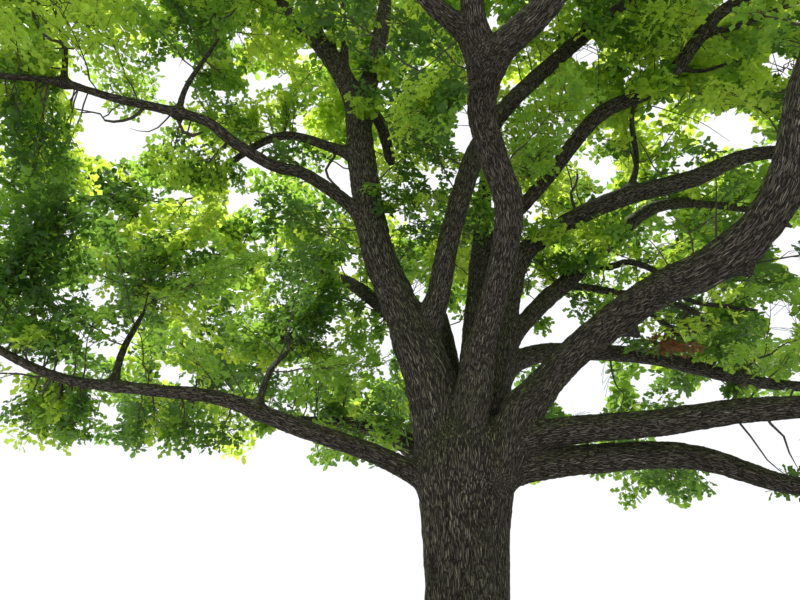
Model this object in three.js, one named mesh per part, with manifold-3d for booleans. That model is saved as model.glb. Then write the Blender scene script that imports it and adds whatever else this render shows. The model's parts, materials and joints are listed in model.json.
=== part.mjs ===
// An old open-grown oak: a short thick trunk that breaks at 4 m into a ring of heavy, winding boughs,
// and a broad crown of leafy masses, one or two at the end of each bough.
// Millimetres, +Z up. The origin is the middle of the flat cut under the trunk, at ground level.
// -Y is the side with no low branches, from which the tree is seen. +X is to the right from there.
import * as THREE from "three";
import { mergeVertices } from "three/addons/utils/BufferGeometryUtils.js";
import Module from "manifold-3d";

const wasm = await Module();
wasm.setup();

// Driving dimensions
const CLEAR = 0.35; // gap between two pieces that meet
const TRUNK_SIDES = 20;
const SHOULDER_RING = 8; // the ring of the trunk where it closes in under the boughs
const ROOT_BUTTRESSES = 6;
const ROOT_SWELL = 0.13; // how far a buttress stands out at the ground, as a share of the radius
const ROOT_SWELL_HEIGHT = 700;
const THICK_LIMB = 340; // a limb whose foot is thicker than this gets THICK_SIDES
const THICK_SIDES = 8;
const THIN_SIDES = 6;
const BEND_NEEDS_RING = 0.16; // radians of turn at which a leg of a limb gets a ring half way

const SPRAY_LENGTH = 2150; // one blade stands for a whole spray of leaves
const SPRAY_WIDTH = 1550;
const SPRAY_THICKNESS = 80;
const SPRAY_WIDEST = 0.58; // where along the blade it is widest
const SPRAY_TRIES = 11; // directions tried for sprays in each mass
const SPRAY_ROOM = 1.02; // a joint lies at least this many blade lengths from the tip
const SPRAY_TILT = [1.8, 0.9, 0.8]; // how far blades lean sideways, with the turn, and how level
const TURN_JITTER = 0.5; // radians
const REACH_LEAST = 0.92;
const REACH_JITTER = 0.16;
const TWIG_START = 260; // a twig may touch others only this near to its own joint,
const TWIG_START_SHARE = 0.6; // or, if it is short, this far along
const STEM_SIDES = 4;
const STEM_STRAIGHT = 260; // how far a stem carries straight on from its bough's tip
const TWIG_TIP_RADIUS = 16;
const TWIG_SHARE = 0.75; // a twig's foot against what it springs from
const FOOT_SINK = 0.35; // how deep a twig's foot is sunk, as a share of that
const JOINTS = [0.35, 0.6, 0.85]; // where along a twig, or a leg of a stem, others may spring
const STEM_SHARE = 0.4; // a mass's stem against its bough's tip
const STEM_FOOT = 1.6; // the foot of a stem that has the tip to itself, against the stem
const STEM_END = 0.8; // the end of a stem against its start
const STEM_REACH = 0.55; // how far a stem goes towards the middle of its mass
const TWIN_SHIFT = 0.5; // how far a twin's stem stands aside, as a share of the tip's radius
const REACHES = [1, 0.9, 0.8, 0.7, 0.6]; // shares of a mass's half sizes tried for a spray's tip
const LIMB_ROOM = 150; // room left between leaves and any limb
const STEM_ROOM = 30; // room left between leaves and another mass's stem
const CELL_ROOM = 30; // room left between one mass and the next, on each side
const PATH_COST = 0.35; // how much a twig prefers a short way back to the stem
const LOWEST_LEAF = 2100;

// Trunk rings: height, diameter, and the middle's shift along X and Y
const TRUNK = [
  [0, 1960, 0, 0],
  [180, 1700, 0, 0],
  [480, 1480, 0, 0],
  [1000, 1340, -10, 0],
  [1700, 1290, -20, 0],
  [2300, 1370, -15, 0],
  [2850, 1500, 0, 0],
  [3350, 1600, 20, 0],
  [3750, 1480, 60, 0],
  [4050, 1120, 110, 20],
  [4200, 560, 140, 40],
];

// Limbs, from foot to tip: x, y, z and thickness at each station. A foot is sunk in the piece
// that carries the limb, which stands before it here, and is cut clear of it.
const LIMBS = {
  left_leader: [
    [-260, 40, 3100, 1000],
    [-560, 50, 4830, 880],
    [-1140, 100, 6590, 710],
    [-1530, 150, 7600, 670],
    [-1950, 300, 10100, 630],
    [-2050, 400, 11500, 590],
    [-1880, 500, 12400, 470],
    [-1540, 900, 15100, 390],
    [-1500, 1000, 16500, 260],
  ],
  // from left_leader
  left_leader_fork: [
    [-2040, 400, 11300, 500],
    [-2420, 400, 12500, 470],
    [-3300, 400, 14000, 430],
    [-4100, 500, 15100, 300],
  ],
  // from left_leader
  inner_leader: [
    [-700, 80, 5600, 620],
    [-360, -20, 6620, 460],
    [-130, -100, 7750, 430],
    [350, -100, 9450, 450],
    [690, 0, 10360, 430],
    [1500, 200, 11700, 390],
    [4050, 600, 14630, 350],
    [5200, 900, 15900, 240],
  ],
  winding_bough: [
    [60, -250, 3050, 620],
    [150, -450, 4700, 500],
    [510, -800, 5900, 500],
    [790, -1250, 7000, 500],
    [840, -1650, 7700, 510],
    [520, -2200, 8320, 500],
    [280, -2850, 8880, 500],
    [400, -3600, 9150, 500],
    [980, -5000, 8850, 400],
    [1700, -6200, 9700, 280],
  ],
  // from winding_bough
  winding_bough_left_fork: [
    [240, -3300, 9050, 400],
    [-20, -3750, 9450, 350],
    [-700, -4400, 9560, 290],
    [-1600, -5200, 10600, 220],
  ],
  // from winding_bough
  winding_bough_middle_fork: [
    [330, -3500, 9120, 430],
    [80, -3950, 9500, 380],
    [0, -4300, 10600, 340],
    [200, -4200, 13300, 220],
  ],
  rear_leader: [
    [80, 300, 3200, 560],
    [260, 800, 5200, 420],
    [620, 1300, 7800, 370],
    [930, 1600, 9900, 350],
    [1300, 2000, 12700, 320],
    [900, 2900, 15900, 240],
  ],
  // from rear_leader
  high_right_limb: [
    [640, 1300, 7900, 320],
    [1200, 1200, 8800, 310],
    [2300, 1000, 10050, 320],
    [3600, 400, 11500, 360],
    [4860, -100, 11900, 330],
    [6300, -700, 13500, 280],
    [7200, -1050, 13900, 230],
  ],
  right_upper_bough: [
    [350, 250, 3300, 620],
    [800, 520, 5300, 450],
    [1300, 1000, 7160, 420],
    [1640, 1120, 8150, 430],
    [2390, 1200, 8800, 430],
    [3970, 1200, 9660, 440],
    [5800, 1100, 10170, 420],
    [7020, 900, 10650, 350],
    [8000, 400, 10480, 270],
  ],
  // from right_upper_bough
  upright_branch: [
    [4150, 1200, 9700, 190],
    [4560, 1200, 10550, 140],
    [4680, 1150, 12100, 120],
    [4950, 1100, 12700, 95],
  ],
  right_rear_bough: [
    [480, 300, 3500, 520],
    [870, 600, 5450, 360],
    [1590, 1000, 6550, 340],
    [2700, 1700, 7750, 390],
    [4000, 2400, 9100, 380],
    [5500, 2900, 10450, 340],
    [6500, 3200, 10880, 250],
  ],
  // from right_rear_bough
  right_thin_bough: [
    [1700, 1080, 6700, 230],
    [2500, 1900, 7700, 190],
    [4200, 2500, 7850, 175],
    [6400, 3500, 7800, 150],
    [7100, 4300, 7700, 130],
  ],
  right_middle_bough: [
    [480, 350, 3400, 520],
    [950, 700, 5250, 430],
    [1600, 1100, 5780, 410],
    [3030, 1650, 6050, 370],
    [4600, 2050, 6040, 340],
    [6900, 2400, 5600, 290],
    [7900, 2300, 5450, 220],
  ],
  great_right_bough: [
    [520, -200, 3200, 700],
    [1250, -330, 4450, 580],
    [1880, -550, 5150, 560],
    [2980, -2050, 5780, 560],
    [3250, -3250, 5600, 560],
    [3640, -3950, 5830, 510],
    [3790, -4600, 6250, 490],
    [3950, -5100, 7150, 460],
    [4600, -5900, 8900, 280],
  ],
  right_level_bough: [
    [300, -280, 3500, 560],
    [1390, -420, 3850, 470],
    [3020, -1100, 3880, 440],
    [3960, -1700, 3920, 390],
    [5300, -2700, 3900, 290],
    [6600, -3600, 4700, 210],
  ],
  right_low_bough: [
    [250, -60, 3100, 620],
    [1140, -150, 3330, 510],
    [3180, -500, 3480, 460],
    [3970, -600, 3390, 400],
    [5180, -800, 2940, 290],
    [6200, -900, 2900, 240],
    [7300, -950, 3600, 180],
  ],
  left_low_bough: [
    [-260, 0, 2950, 480],
    [-980, -120, 3300, 380],
    [-1610, -300, 3560, 330],
    [-2890, -700, 3930, 310],
    [-4100, -1000, 4320, 240],
    [-5320, -1150, 4430, 200],
    [-6600, -1350, 4560, 165],
    [-7550, -1600, 4950, 140],
    [-8100, -1750, 5300, 120],
  ],
  // from left_low_bough
  left_low_outer_branch: [
    [-5800, -1200, 4500, 140],
    [-5860, -1000, 5110, 115],
    [-5900, -500, 5900, 95],
  ],
  // from left_low_bough
  left_low_inner_branch: [
    [-3500, -880, 4100, 140],
    [-3390, -600, 4900, 115],
    [-3300, 200, 5500, 95],
  ],
  // from left_leader
  left_upper_bough: [
    [-1800, 220, 8450, 380],
    [-2150, 50, 8760, 280],
    [-3140, -500, 9200, 250],
    [-3600, -700, 9180, 240],
    [-4480, -1200, 9500, 220],
    [-4860, -1400, 9740, 200],
    [-6440, -2100, 9720, 150],
    [-7240, -2500, 9720, 125],
    [-8000, -3100, 9300, 110],
  ],
  // from left_upper_bough
  left_upper_outer_branch: [
    [-7150, -2450, 9700, 120],
    [-7280, -2500, 10500, 105],
    [-7900, -2300, 11900, 85],
  ],
  // from left_upper_bough
  left_upper_inner_branch: [
    [-5380, -1620, 9680, 130],
    [-5330, -1600, 10400, 105],
    [-5000, -1500, 11500, 85],
  ],
  // from left_leader
  left_rear_limb: [
    [-2000, 300, 10150, 300],
    [-2700, 420, 10560, 230],
    [-4000, 900, 11250, 200],
    [-5600, 1900, 11000, 150],
    [-6200, 2400, 10700, 130],
  ],
  rear_left_low_bough: [
    [-250, 220, 3200, 520],
    [-1400, 1500, 4300, 380],
    [-3600, 3200, 4900, 300],
    [-5900, 4500, 5800, 200],
  ],
  rear_low_bough: [
    [-60, 300, 3100, 520],
    [-300, 2000, 4000, 380],
    [-900, 4600, 4700, 290],
    [-1300, 7300, 5700, 200],
  ],
  rear_right_low_bough: [
    [260, 280, 2950, 480],
    [1600, 1900, 3800, 360],
    [3600, 4200, 4300, 280],
    [5300, 6300, 5200, 190],
  ],
  rear_left_bough: [
    [-120, 350, 3600, 460],
    [-700, 1300, 6000, 400],
    [-2200, 2900, 8200, 330],
    [-3200, 4300, 9200, 270],
    [-4500, 5400, 10100, 200],
  ],
  rear_middle_bough: [
    [0, 420, 3600, 460],
    [-60, 1600, 6000, 390],
    [-200, 3600, 8400, 320],
    [200, 6600, 10500, 200],
  ],
};

// Masses of leaves: the bough that carries each, the middle of its space and its half sizes.
// Twins share a bough's tip, and their last number says on which side of it each stands.
const MASSES = {
  left_crown_top: ["left_leader", [-1900, 800, 18500], [2700, 2700, 2300]],
  left_high_crown: ["left_leader_fork", [-5300, 700, 16000], [2700, 2700, 2300]],
  right_crown_top: ["inner_leader", [6000, 1500, 17300], [2900, 2800, 2400]],
  front_right_crown: ["winding_bough", [2300, -7400, 11900], [2900, 2700, 2100]],
  front_left_crown: ["winding_bough_left_fork", [-2600, -6400, 12500], [2900, 2800, 2200]],
  front_crown_top: ["winding_bough_middle_fork", [400, -3700, 15500], [2900, 2800, 2300]],
  rear_crown_top: ["rear_leader", [1600, 3000, 18700], [2800, 2700, 2300], 1],
  rear_left_high_crown: ["rear_leader", [-2000, 5100, 16200], [2800, 2700, 2300], -1],
  right_front_high_crown: ["high_right_limb", [8500, -3600, 13700], [2700, 2700, 2200], 1],
  right_high_crown: ["high_right_limb", [9000, 1800, 14300], [2700, 2700, 2200], -1],
  right_crown: ["right_upper_bough", [9600, -300, 10600], [2500, 2700, 2200]],
  right_inner_crown: ["upright_branch", [4900, 900, 14000], [2500, 2500, 1900]],
  right_rear_crown: ["right_rear_bough", [8400, 4700, 11200], [2600, 2600, 2100], 1],
  rear_right_high_crown: ["right_rear_bough", [5600, 6600, 13200], [2800, 2700, 2300], -1],
  right_rear_low_crown: ["right_thin_bough", [8500, 5900, 7900], [2500, 2400, 1900]],
  right_low_crown: ["right_middle_bough", [9900, 2300, 6500], [2500, 2500, 2000]],
  right_front_crown: ["great_right_bough", [5900, -7000, 10300], [2700, 2600, 2300]],
  right_front_low_crown: ["right_level_bough", [8000, -4700, 5900], [2600, 2500, 2000]],
  right_skirt: ["right_low_bough", [9300, -1200, 4700], [2500, 2400, 1900]],
  left_skirt: ["left_low_bough", [-9900, -2200, 5900], [2600, 2600, 2000]],
  left_low_crown: ["left_low_outer_branch", [-6200, 500, 7400], [2300, 2300, 1700]],
  left_inner_low_crown: ["left_low_inner_branch", [-3500, 1700, 6700], [1900, 1900, 1400]],
  left_crown: ["left_upper_bough", [-9500, -4000, 9700], [2600, 2700, 2100]],
  left_outer_high_crown: ["left_upper_outer_branch", [-8500, -1700, 13200], [2700, 2600, 2000]],
  left_inner_high_crown: ["left_upper_inner_branch", [-4800, -2200, 12900], [2500, 2500, 1900]],
  left_rear_crown: ["left_rear_limb", [-8000, 2900, 10400], [2700, 2700, 2200]],
  rear_left_low_crown: ["rear_left_low_bough", [-7400, 6000, 6800], [2800, 2700, 2200]],
  rear_low_crown: ["rear_low_bough", [-1600, 9300, 6700], [2900, 2600, 2200]],
  rear_right_low_crown: ["rear_right_low_bough", [4700, 8800, 6300], [2700, 2600, 2100]],
  rear_left_crown: ["rear_left_bough", [-5600, 7000, 11600], [2900, 2700, 2300]],
  rear_crown: ["rear_middle_bough", [400, 8600, 12000], [2900, 2700, 2300]],
};

// Bark and leaves
const BARK = new THREE.MeshStandardMaterial({ color: 0x5c5044, roughness: 0.95, metalness: 0 });
const LEAF = new THREE.MeshStandardMaterial({ color: 0x6f9a26, roughness: 0.6, metalness: 0 });

// Small vector helpers
const vec = (p) => new THREE.Vector3(p[0], p[1], p[2]);
const between = (a, b, share) => a.clone().lerp(b, share);

// The same even, repeatable numbers from 0 to 1 for the same seed.
function seeded(seed) {
  let state = seed >>> 0;
  return () => {
    state = (Math.imul(state, 1664525) + 1013904223) >>> 0;
    return state / 4294967296;
  };
}

// Joins a geometry's vertices by place alone and makes it a solid.
function solidOf(geometry) {
  geometry.deleteAttribute("normal");
  geometry.deleteAttribute("uv");
  const merged = mergeVertices(geometry, 1e-3);
  return new wasm.Manifold(
    new wasm.Mesh({
      numProp: 3,
      vertProperties: merged.attributes.position.array,
      triVerts: new Uint32Array(merged.index.array),
    }),
  );
}

function geometryOf(solid) {
  const mesh = solid.getMesh();
  const geometry = new THREE.BufferGeometry();
  geometry.setAttribute("position", new THREE.BufferAttribute(mesh.vertProperties, 3));
  geometry.setIndex(new THREE.BufferAttribute(mesh.triVerts, 1));
  return geometry;
}

// A closed tube through rings of equal point counts, with a flat fan at each end.
function tubeGeometry(rings) {
  const sides = rings[0].length;
  const faces = [];
  for (let i = 1; i < rings.length; i++) {
    for (let k = 0; k < sides; k++) {
      const a = (i - 1) * sides + k;
      const b = (i - 1) * sides + ((k + 1) % sides);
      faces.push(a, b, b + sides, a, b + sides, a + sides);
    }
  }
  const last = (rings.length - 1) * sides;
  for (let k = 1; k < sides - 1; k++) {
    faces.push(0, k + 1, k);
    faces.push(last, last + k, last + k + 1);
  }
  const geometry = new THREE.BufferGeometry();
  const places = rings.flat().flatMap((p) => [p.x, p.y, p.z]);
  geometry.setAttribute("position", new THREE.Float32BufferAttribute(places, 3));
  geometry.setIndex(faces);
  return geometry;
}

// Rings round a line of stations {at, radius}, carried along it without twist.
function ringsAlong(stations, sides, grow) {
  const count = stations.length;
  const tangents = stations.map((s, i) =>
    stations[Math.min(i + 1, count - 1)].at.clone().sub(stations[Math.max(i - 1, 0)].at).normalize(),
  );
  let across = new THREE.Vector3(0, -1, 0);
  return stations.map((s, i) => {
    across = across.clone().addScaledVector(tangents[i], -across.dot(tangents[i])).normalize();
    const other = tangents[i].clone().cross(across);
    const end = i === 0 ? -grow : i === count - 1 ? grow : 0;
    const middle = s.at.clone().addScaledVector(tangents[i], end);
    return Array.from({ length: sides }, (_, k) => {
      const angle = (2 * Math.PI * k) / sides;
      return middle
        .clone()
        .addScaledVector(across, Math.cos(angle) * (s.radius + grow))
        .addScaledVector(other, Math.sin(angle) * (s.radius + grow));
    });
  });
}

const tube = (stations, sides, grow = 0) => solidOf(tubeGeometry(ringsAlong(stations, sides, grow)));

// The smooth line through a route's stations, with a ring half way along each leg that turns.
function stationsOf(route) {
  const points = route.map(vec);
  const curve = new THREE.CatmullRomCurve3(points, false, "centripetal");
  const legs = route.length - 1;
  const stations = [];
  for (let i = 0; i <= legs; i++) {
    stations.push({ at: points[i], radius: route[i][3] / 2 });
    if (i === legs) break;
    const turn = curve.getTangent(i / legs).angleTo(curve.getTangent((i + 1) / legs));
    if (turn > BEND_NEEDS_RING) {
      const radius = (route[i][3] + route[i + 1][3]) / 4;
      stations.push({ at: curve.getPoint((i + 0.5) / legs), radius });
    }
  }
  return stations;
}

// The trunk, with buttressed roots at the ground, grown outwards by a little for cutting.
function trunkSolid(grow) {
  const rings = TRUNK.map(([height, diameter, shiftX, shiftY], i) => {
    const swell = ROOT_SWELL * Math.max(0, 1 - height / ROOT_SWELL_HEIGHT);
    const up = i >= SHOULDER_RING ? grow : 0;
    return Array.from({ length: TRUNK_SIDES }, (_, k) => {
      const angle = (2 * Math.PI * k) / TRUNK_SIDES;
      const radius = (diameter / 2) * (1 + swell * Math.cos(ROOT_BUTTRESSES * angle)) + grow;
      return new THREE.Vector3(
        shiftX + radius * Math.cos(angle),
        shiftY + radius * Math.sin(angle),
        height + up,
      );
    });
  });
  return solidOf(tubeGeometry(rings));
}

// Distance from a point to the leg between two stations, less the limb's own radius there.
function roomBeside(point, a, b) {
  const leg = b.at.clone().sub(a.at);
  const share = THREE.MathUtils.clamp(point.clone().sub(a.at).dot(leg) / leg.lengthSq(), 0, 1);
  const radius = a.radius + (b.radius - a.radius) * share;
  return point.distanceTo(between(a.at, b.at, share)) - radius;
}

function clearOf(point, lines, room) {
  return lines.every((line) => {
    for (let i = 1; i < line.length; i++) {
      if (roomBeside(point, line[i - 1], line[i]) < room) return false;
    }
    return true;
  });
}

// True where a point lies in a mass's own space: nearer to it than to any other, by its size.
function inOwnSpace(point, mass, masses) {
  if (point.z < LOWEST_LEAF) return false;
  const own = point.distanceToSquared(mass.middle) - mass.size ** 2;
  return masses.every((other) => {
    if (other === mass) return true;
    const theirs = point.distanceToSquared(other.middle) - other.size ** 2;
    return theirs - own > 2 * CELL_ROOM * mass.middle.distanceTo(other.middle);
  });
}

// True where a solid's box comes within reach of a mass.
function nearMass(solid, mass) {
  const { min, max } = solid.boundingBox();
  return new THREE.Box3(vec(min), vec(max)).distanceToPoint(mass.middle) < 2 * mass.size;
}

// The points of a spray's blade that are tested for room: along its middle and both edges.
function bladePoints(root, tip, flat) {
  const along = tip.clone().sub(root);
  const across = along.clone().cross(flat).normalize();
  const points = [];
  for (let share = 0; share <= 1.001; share += 0.125) {
    const half = share < SPRAY_WIDEST ? share / SPRAY_WIDEST : (1 - share) / (1 - SPRAY_WIDEST);
    for (const side of [-1, -0.5, 0, 0.5, 1]) {
      points.push(
        root.clone().addScaledVector(along, share).addScaledVector(across, (side * half * SPRAY_WIDTH) / 2),
      );
    }
  }
  return points;
}

// The twigs and sprays of one mass, by rule. Each spray's tip is aimed in a golden-angle
// direction at the edge of the mass, and its twig springs from the joint that suits it best.
function growMass(mass, masses, limbLines, obstacles) {
  const random = seeded(mass.seed);
  const joints = [];
  const addJoints = (from, to, path) => {
    for (const share of JOINTS) {
      const at = between(from.at, to.at, share);
      const radius = from.radius + (to.radius - from.radius) * share;
      if (inOwnSpace(at, mass, masses)) joints.push({ at, radius, path: path + at.distanceTo(from.at) });
    }
  };
  const [, bend, end] = mass.stem;
  addJoints(bend, end, 0);
  const others = [...limbLines, ...masses.filter((m) => m !== mass).map((m) => m.stem)];
  const near = obstacles.filter((o) => o.owner !== mass && nearMass(o.solid, mass)).map((o) => o.solid);
  const aims = [];
  for (let i = 0; i < SPRAY_TRIES; i++) {
    const height = 1 - (2 * (i + 0.5)) / SPRAY_TRIES;
    const turn = i * Math.PI * (3 - Math.sqrt(5)) + random() * TURN_JITTER;
    const level = Math.sqrt(1 - height * height);
    const wobble = REACH_LEAST + REACH_JITTER * random();
    const lean = random() - 0.5;
    const reach = new THREE.Vector3(
      mass.half.x * level * Math.cos(turn),
      mass.half.y * level * Math.sin(turn),
      mass.half.z * height,
    ).multiplyScalar(wobble);
    aims.push({ reach, lean, turn });
  }
  aims.sort(
    (a, b) =>
      a.reach.clone().add(mass.middle).distanceTo(mass.foot) -
      b.reach.clone().add(mass.middle).distanceTo(mass.foot),
  );
  const sprays = [];
  for (const aim of aims) {
    for (const share of REACHES) {
      const tip = mass.middle.clone().addScaledVector(aim.reach, share);
      const fits = joints
        .filter((j) => j.at.distanceTo(tip) > SPRAY_LENGTH * SPRAY_ROOM)
        .sort(
          (a, b) =>
            a.at.distanceTo(tip) + PATH_COST * a.path - (b.at.distanceTo(tip) + PATH_COST * b.path),
        )[0];
      if (!fits) continue;
      const along = tip.clone().sub(fits.at).normalize();
      const root = tip.clone().addScaledVector(along, -SPRAY_LENGTH);
      const [leanTilt, turnTilt, level] = SPRAY_TILT;
      const flat = new THREE.Vector3(leanTilt * aim.lean, turnTilt * Math.sin(aim.turn), level);
      flat.addScaledVector(along, -flat.dot(along)).normalize();
      const tested = [...bladePoints(root, tip, flat), between(fits.at, root, 0.5), root];
      if (!tested.every((p) => inOwnSpace(p, mass, masses) && clearOf(p, others, LIMB_ROOM))) continue;
      const length = fits.at.distanceTo(root);
      const start = fits.at.clone().addScaledVector(along, Math.min(TWIG_START, TWIG_START_SHARE * length));
      const outer = spraySolid(start, root, tip, flat, fits.radius);
      if ([...sprays, ...near].some((solid) => !solid.intersect(outer).isEmpty())) continue;
      sprays.push(spraySolid(fits.at, root, tip, flat, fits.radius));
      joints.splice(joints.indexOf(fits), 1);
      addJoints(fits, { at: root, radius: TWIG_TIP_RADIUS }, fits.path);
      break;
    }
  }
  return sprays;
}

// A three-sided twig that ends in a spray's blade, widest past the middle and drawn out to a tip.
function spraySolid(joint, root, tip, flat, radius) {
  const along = tip.clone().sub(root).normalize();
  const across = flat.clone().cross(along).normalize();
  const ring = (middle, size) =>
    [90, 210, 330].map((degrees) => {
      const angle = THREE.MathUtils.degToRad(degrees);
      return middle
        .clone()
        .addScaledVector(across, size * Math.cos(angle))
        .addScaledVector(flat, size * Math.sin(angle));
    });
  const foot = joint.clone().addScaledVector(along, -FOOT_SINK * radius);
  const middle = between(root, tip, SPRAY_WIDEST);
  const points = [
    ...ring(foot, Math.max(radius * TWIG_SHARE, TWIG_TIP_RADIUS)),
    ...ring(root, TWIG_TIP_RADIUS),
    middle.clone().addScaledVector(across, SPRAY_WIDTH / 2),
    middle.clone().addScaledVector(flat, SPRAY_THICKNESS / 2),
    middle.clone().addScaledVector(across, -SPRAY_WIDTH / 2),
    middle.clone().addScaledVector(flat, -SPRAY_THICKNESS / 2),
    tip,
  ];
  const twigFaces = [0, 2, 1, 0, 1, 4, 0, 4, 3, 1, 2, 5, 1, 5, 4, 2, 0, 3, 2, 3, 5];
  const bladeFaces = [3, 8, 7, 3, 4, 8, 4, 9, 8, 4, 5, 9, 5, 6, 9, 5, 3, 6, 3, 7, 6];
  const tipFaces = [6, 7, 10, 7, 8, 10, 8, 9, 10, 9, 6, 10];
  const geometry = new THREE.BufferGeometry();
  const places = points.flatMap((p) => [p.x, p.y, p.z]);
  geometry.setAttribute("position", new THREE.Float32BufferAttribute(places, 3));
  geometry.setIndex([...twigFaces, ...bladeFaces, ...tipFaces]);
  return solidOf(geometry);
}

// One mass as one solid: its stem, twigs and blades joined.
function massSolid(mass, sprays) {
  const whole = wasm.Manifold.union([tube(mass.stem, STEM_SIDES), ...sprays]);
  return whole.decompose().sort((a, b) => b.volume() - a.volume())[0];
}

const tree = new THREE.Group();

function addNode(name, solid, material) {
  const mesh = new THREE.Mesh(geometryOf(solid), material);
  mesh.name = name;
  tree.add(mesh);
}

// Trunk and limbs: each limb is cut clear of every piece made before it that it meets.
const lines = {};
const made = [{ name: "trunk", grown: trunkSolid(CLEAR) }];
addNode("trunk", trunkSolid(0), BARK);
for (const [name, route] of Object.entries(LIMBS)) {
  const stations = stationsOf(route);
  const sides = route[0][3] > THICK_LIMB ? THICK_SIDES : THIN_SIDES;
  lines[name] = stations;
  let solid = tube(stations, sides);
  for (const other of made) {
    const cut = solid.subtract(other.grown);
    if (!cut.isEmpty()) solid = cut;
  }
  solid = solid.decompose().sort((a, b) => b.volume() - a.volume())[0];
  made.push({ name, grown: tube(stations, sides, CLEAR) });
  addNode(name, solid, BARK);
}

// Masses: each one's stem starts just clear of its bough's tip, or beside its twin's on it.
const masses = Object.entries(MASSES).map(([name, [on, middle, half, side = 0]], i) => {
  const line = lines[on];
  const tip = line[line.length - 1];
  const out = tip.at.clone().sub(line[line.length - 2].at).normalize();
  const centre = vec(middle);
  const beside = out.clone().cross(new THREE.Vector3(0, 0, 1)).normalize();
  const radius = tip.radius * STEM_SHARE;
  const shift = side * tip.radius * TWIN_SHIFT;
  const foot = tip.at.clone().addScaledVector(out, CLEAR).addScaledVector(beside, shift);
  const toMiddle = centre.clone().sub(foot);
  const first = foot.clone().addScaledVector(out, STEM_STRAIGHT);
  const stem = [
    { at: foot, radius: side === 0 ? radius * STEM_FOOT : radius },
    { at: first, radius },
    { at: foot.clone().addScaledVector(toMiddle, STEM_REACH), radius: radius * STEM_END },
  ];
  const size = (half[0] + half[1] + half[2]) / 3;
  return { name, foot, stem, middle: centre, half: vec(half), size, seed: 101 + 37 * i };
});
const limbLines = Object.values(lines);
const obstacles = [
  ...made.map(({ grown }) => ({ solid: grown, owner: null })),
  ...masses.map((mass) => ({ solid: tube(mass.stem, STEM_SIDES, STEM_ROOM), owner: mass })),
];
for (const mass of masses) {
  addNode(mass.name, massSolid(mass, growMass(mass, masses, limbLines, obstacles)), LEAF);
}

export default tree;
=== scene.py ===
"""The oak tree's looks: bark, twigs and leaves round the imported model, all in metres."""

import json
import logging
import math
from dataclasses import dataclass, field
from enum import Enum
from functools import cached_property
from typing import Callable, Iterable

import bmesh
import bpy
import numpy as np
from mathutils.bvhtree import BVHTree
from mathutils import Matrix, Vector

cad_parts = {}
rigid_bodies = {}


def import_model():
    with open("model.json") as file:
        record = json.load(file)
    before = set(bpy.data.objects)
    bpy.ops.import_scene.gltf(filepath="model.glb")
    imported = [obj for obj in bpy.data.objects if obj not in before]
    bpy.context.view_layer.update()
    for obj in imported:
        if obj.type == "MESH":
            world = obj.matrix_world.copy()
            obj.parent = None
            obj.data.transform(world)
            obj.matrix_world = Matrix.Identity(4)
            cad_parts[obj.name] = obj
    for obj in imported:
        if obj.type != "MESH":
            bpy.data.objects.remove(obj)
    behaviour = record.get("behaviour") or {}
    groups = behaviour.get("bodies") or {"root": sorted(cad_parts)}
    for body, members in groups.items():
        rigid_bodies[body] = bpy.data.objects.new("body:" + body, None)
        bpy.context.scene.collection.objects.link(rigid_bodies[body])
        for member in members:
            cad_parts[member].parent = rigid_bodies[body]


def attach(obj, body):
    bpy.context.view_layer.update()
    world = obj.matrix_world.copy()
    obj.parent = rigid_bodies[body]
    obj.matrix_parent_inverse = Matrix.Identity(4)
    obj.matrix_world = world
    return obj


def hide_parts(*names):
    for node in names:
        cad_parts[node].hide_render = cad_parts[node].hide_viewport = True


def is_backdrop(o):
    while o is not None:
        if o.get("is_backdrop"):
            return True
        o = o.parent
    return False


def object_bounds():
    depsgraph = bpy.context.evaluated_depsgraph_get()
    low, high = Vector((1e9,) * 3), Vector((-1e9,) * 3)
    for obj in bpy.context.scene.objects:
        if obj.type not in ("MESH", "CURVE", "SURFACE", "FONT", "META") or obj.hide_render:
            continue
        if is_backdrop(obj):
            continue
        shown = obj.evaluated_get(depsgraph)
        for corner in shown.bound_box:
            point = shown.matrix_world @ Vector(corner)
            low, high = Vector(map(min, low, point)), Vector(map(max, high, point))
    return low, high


LOG = logging.getLogger("oak")
Array = np.ndarray
Random = np.random.Generator
Measured = tuple[Array, Array, Array, Array]
Place = tuple[float, float, float]
Station = tuple[float, float, float, float]
Piece = bpy.types.Object
Tree = bpy.types.NodeTree
Socket = bpy.types.NodeSocket

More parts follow.
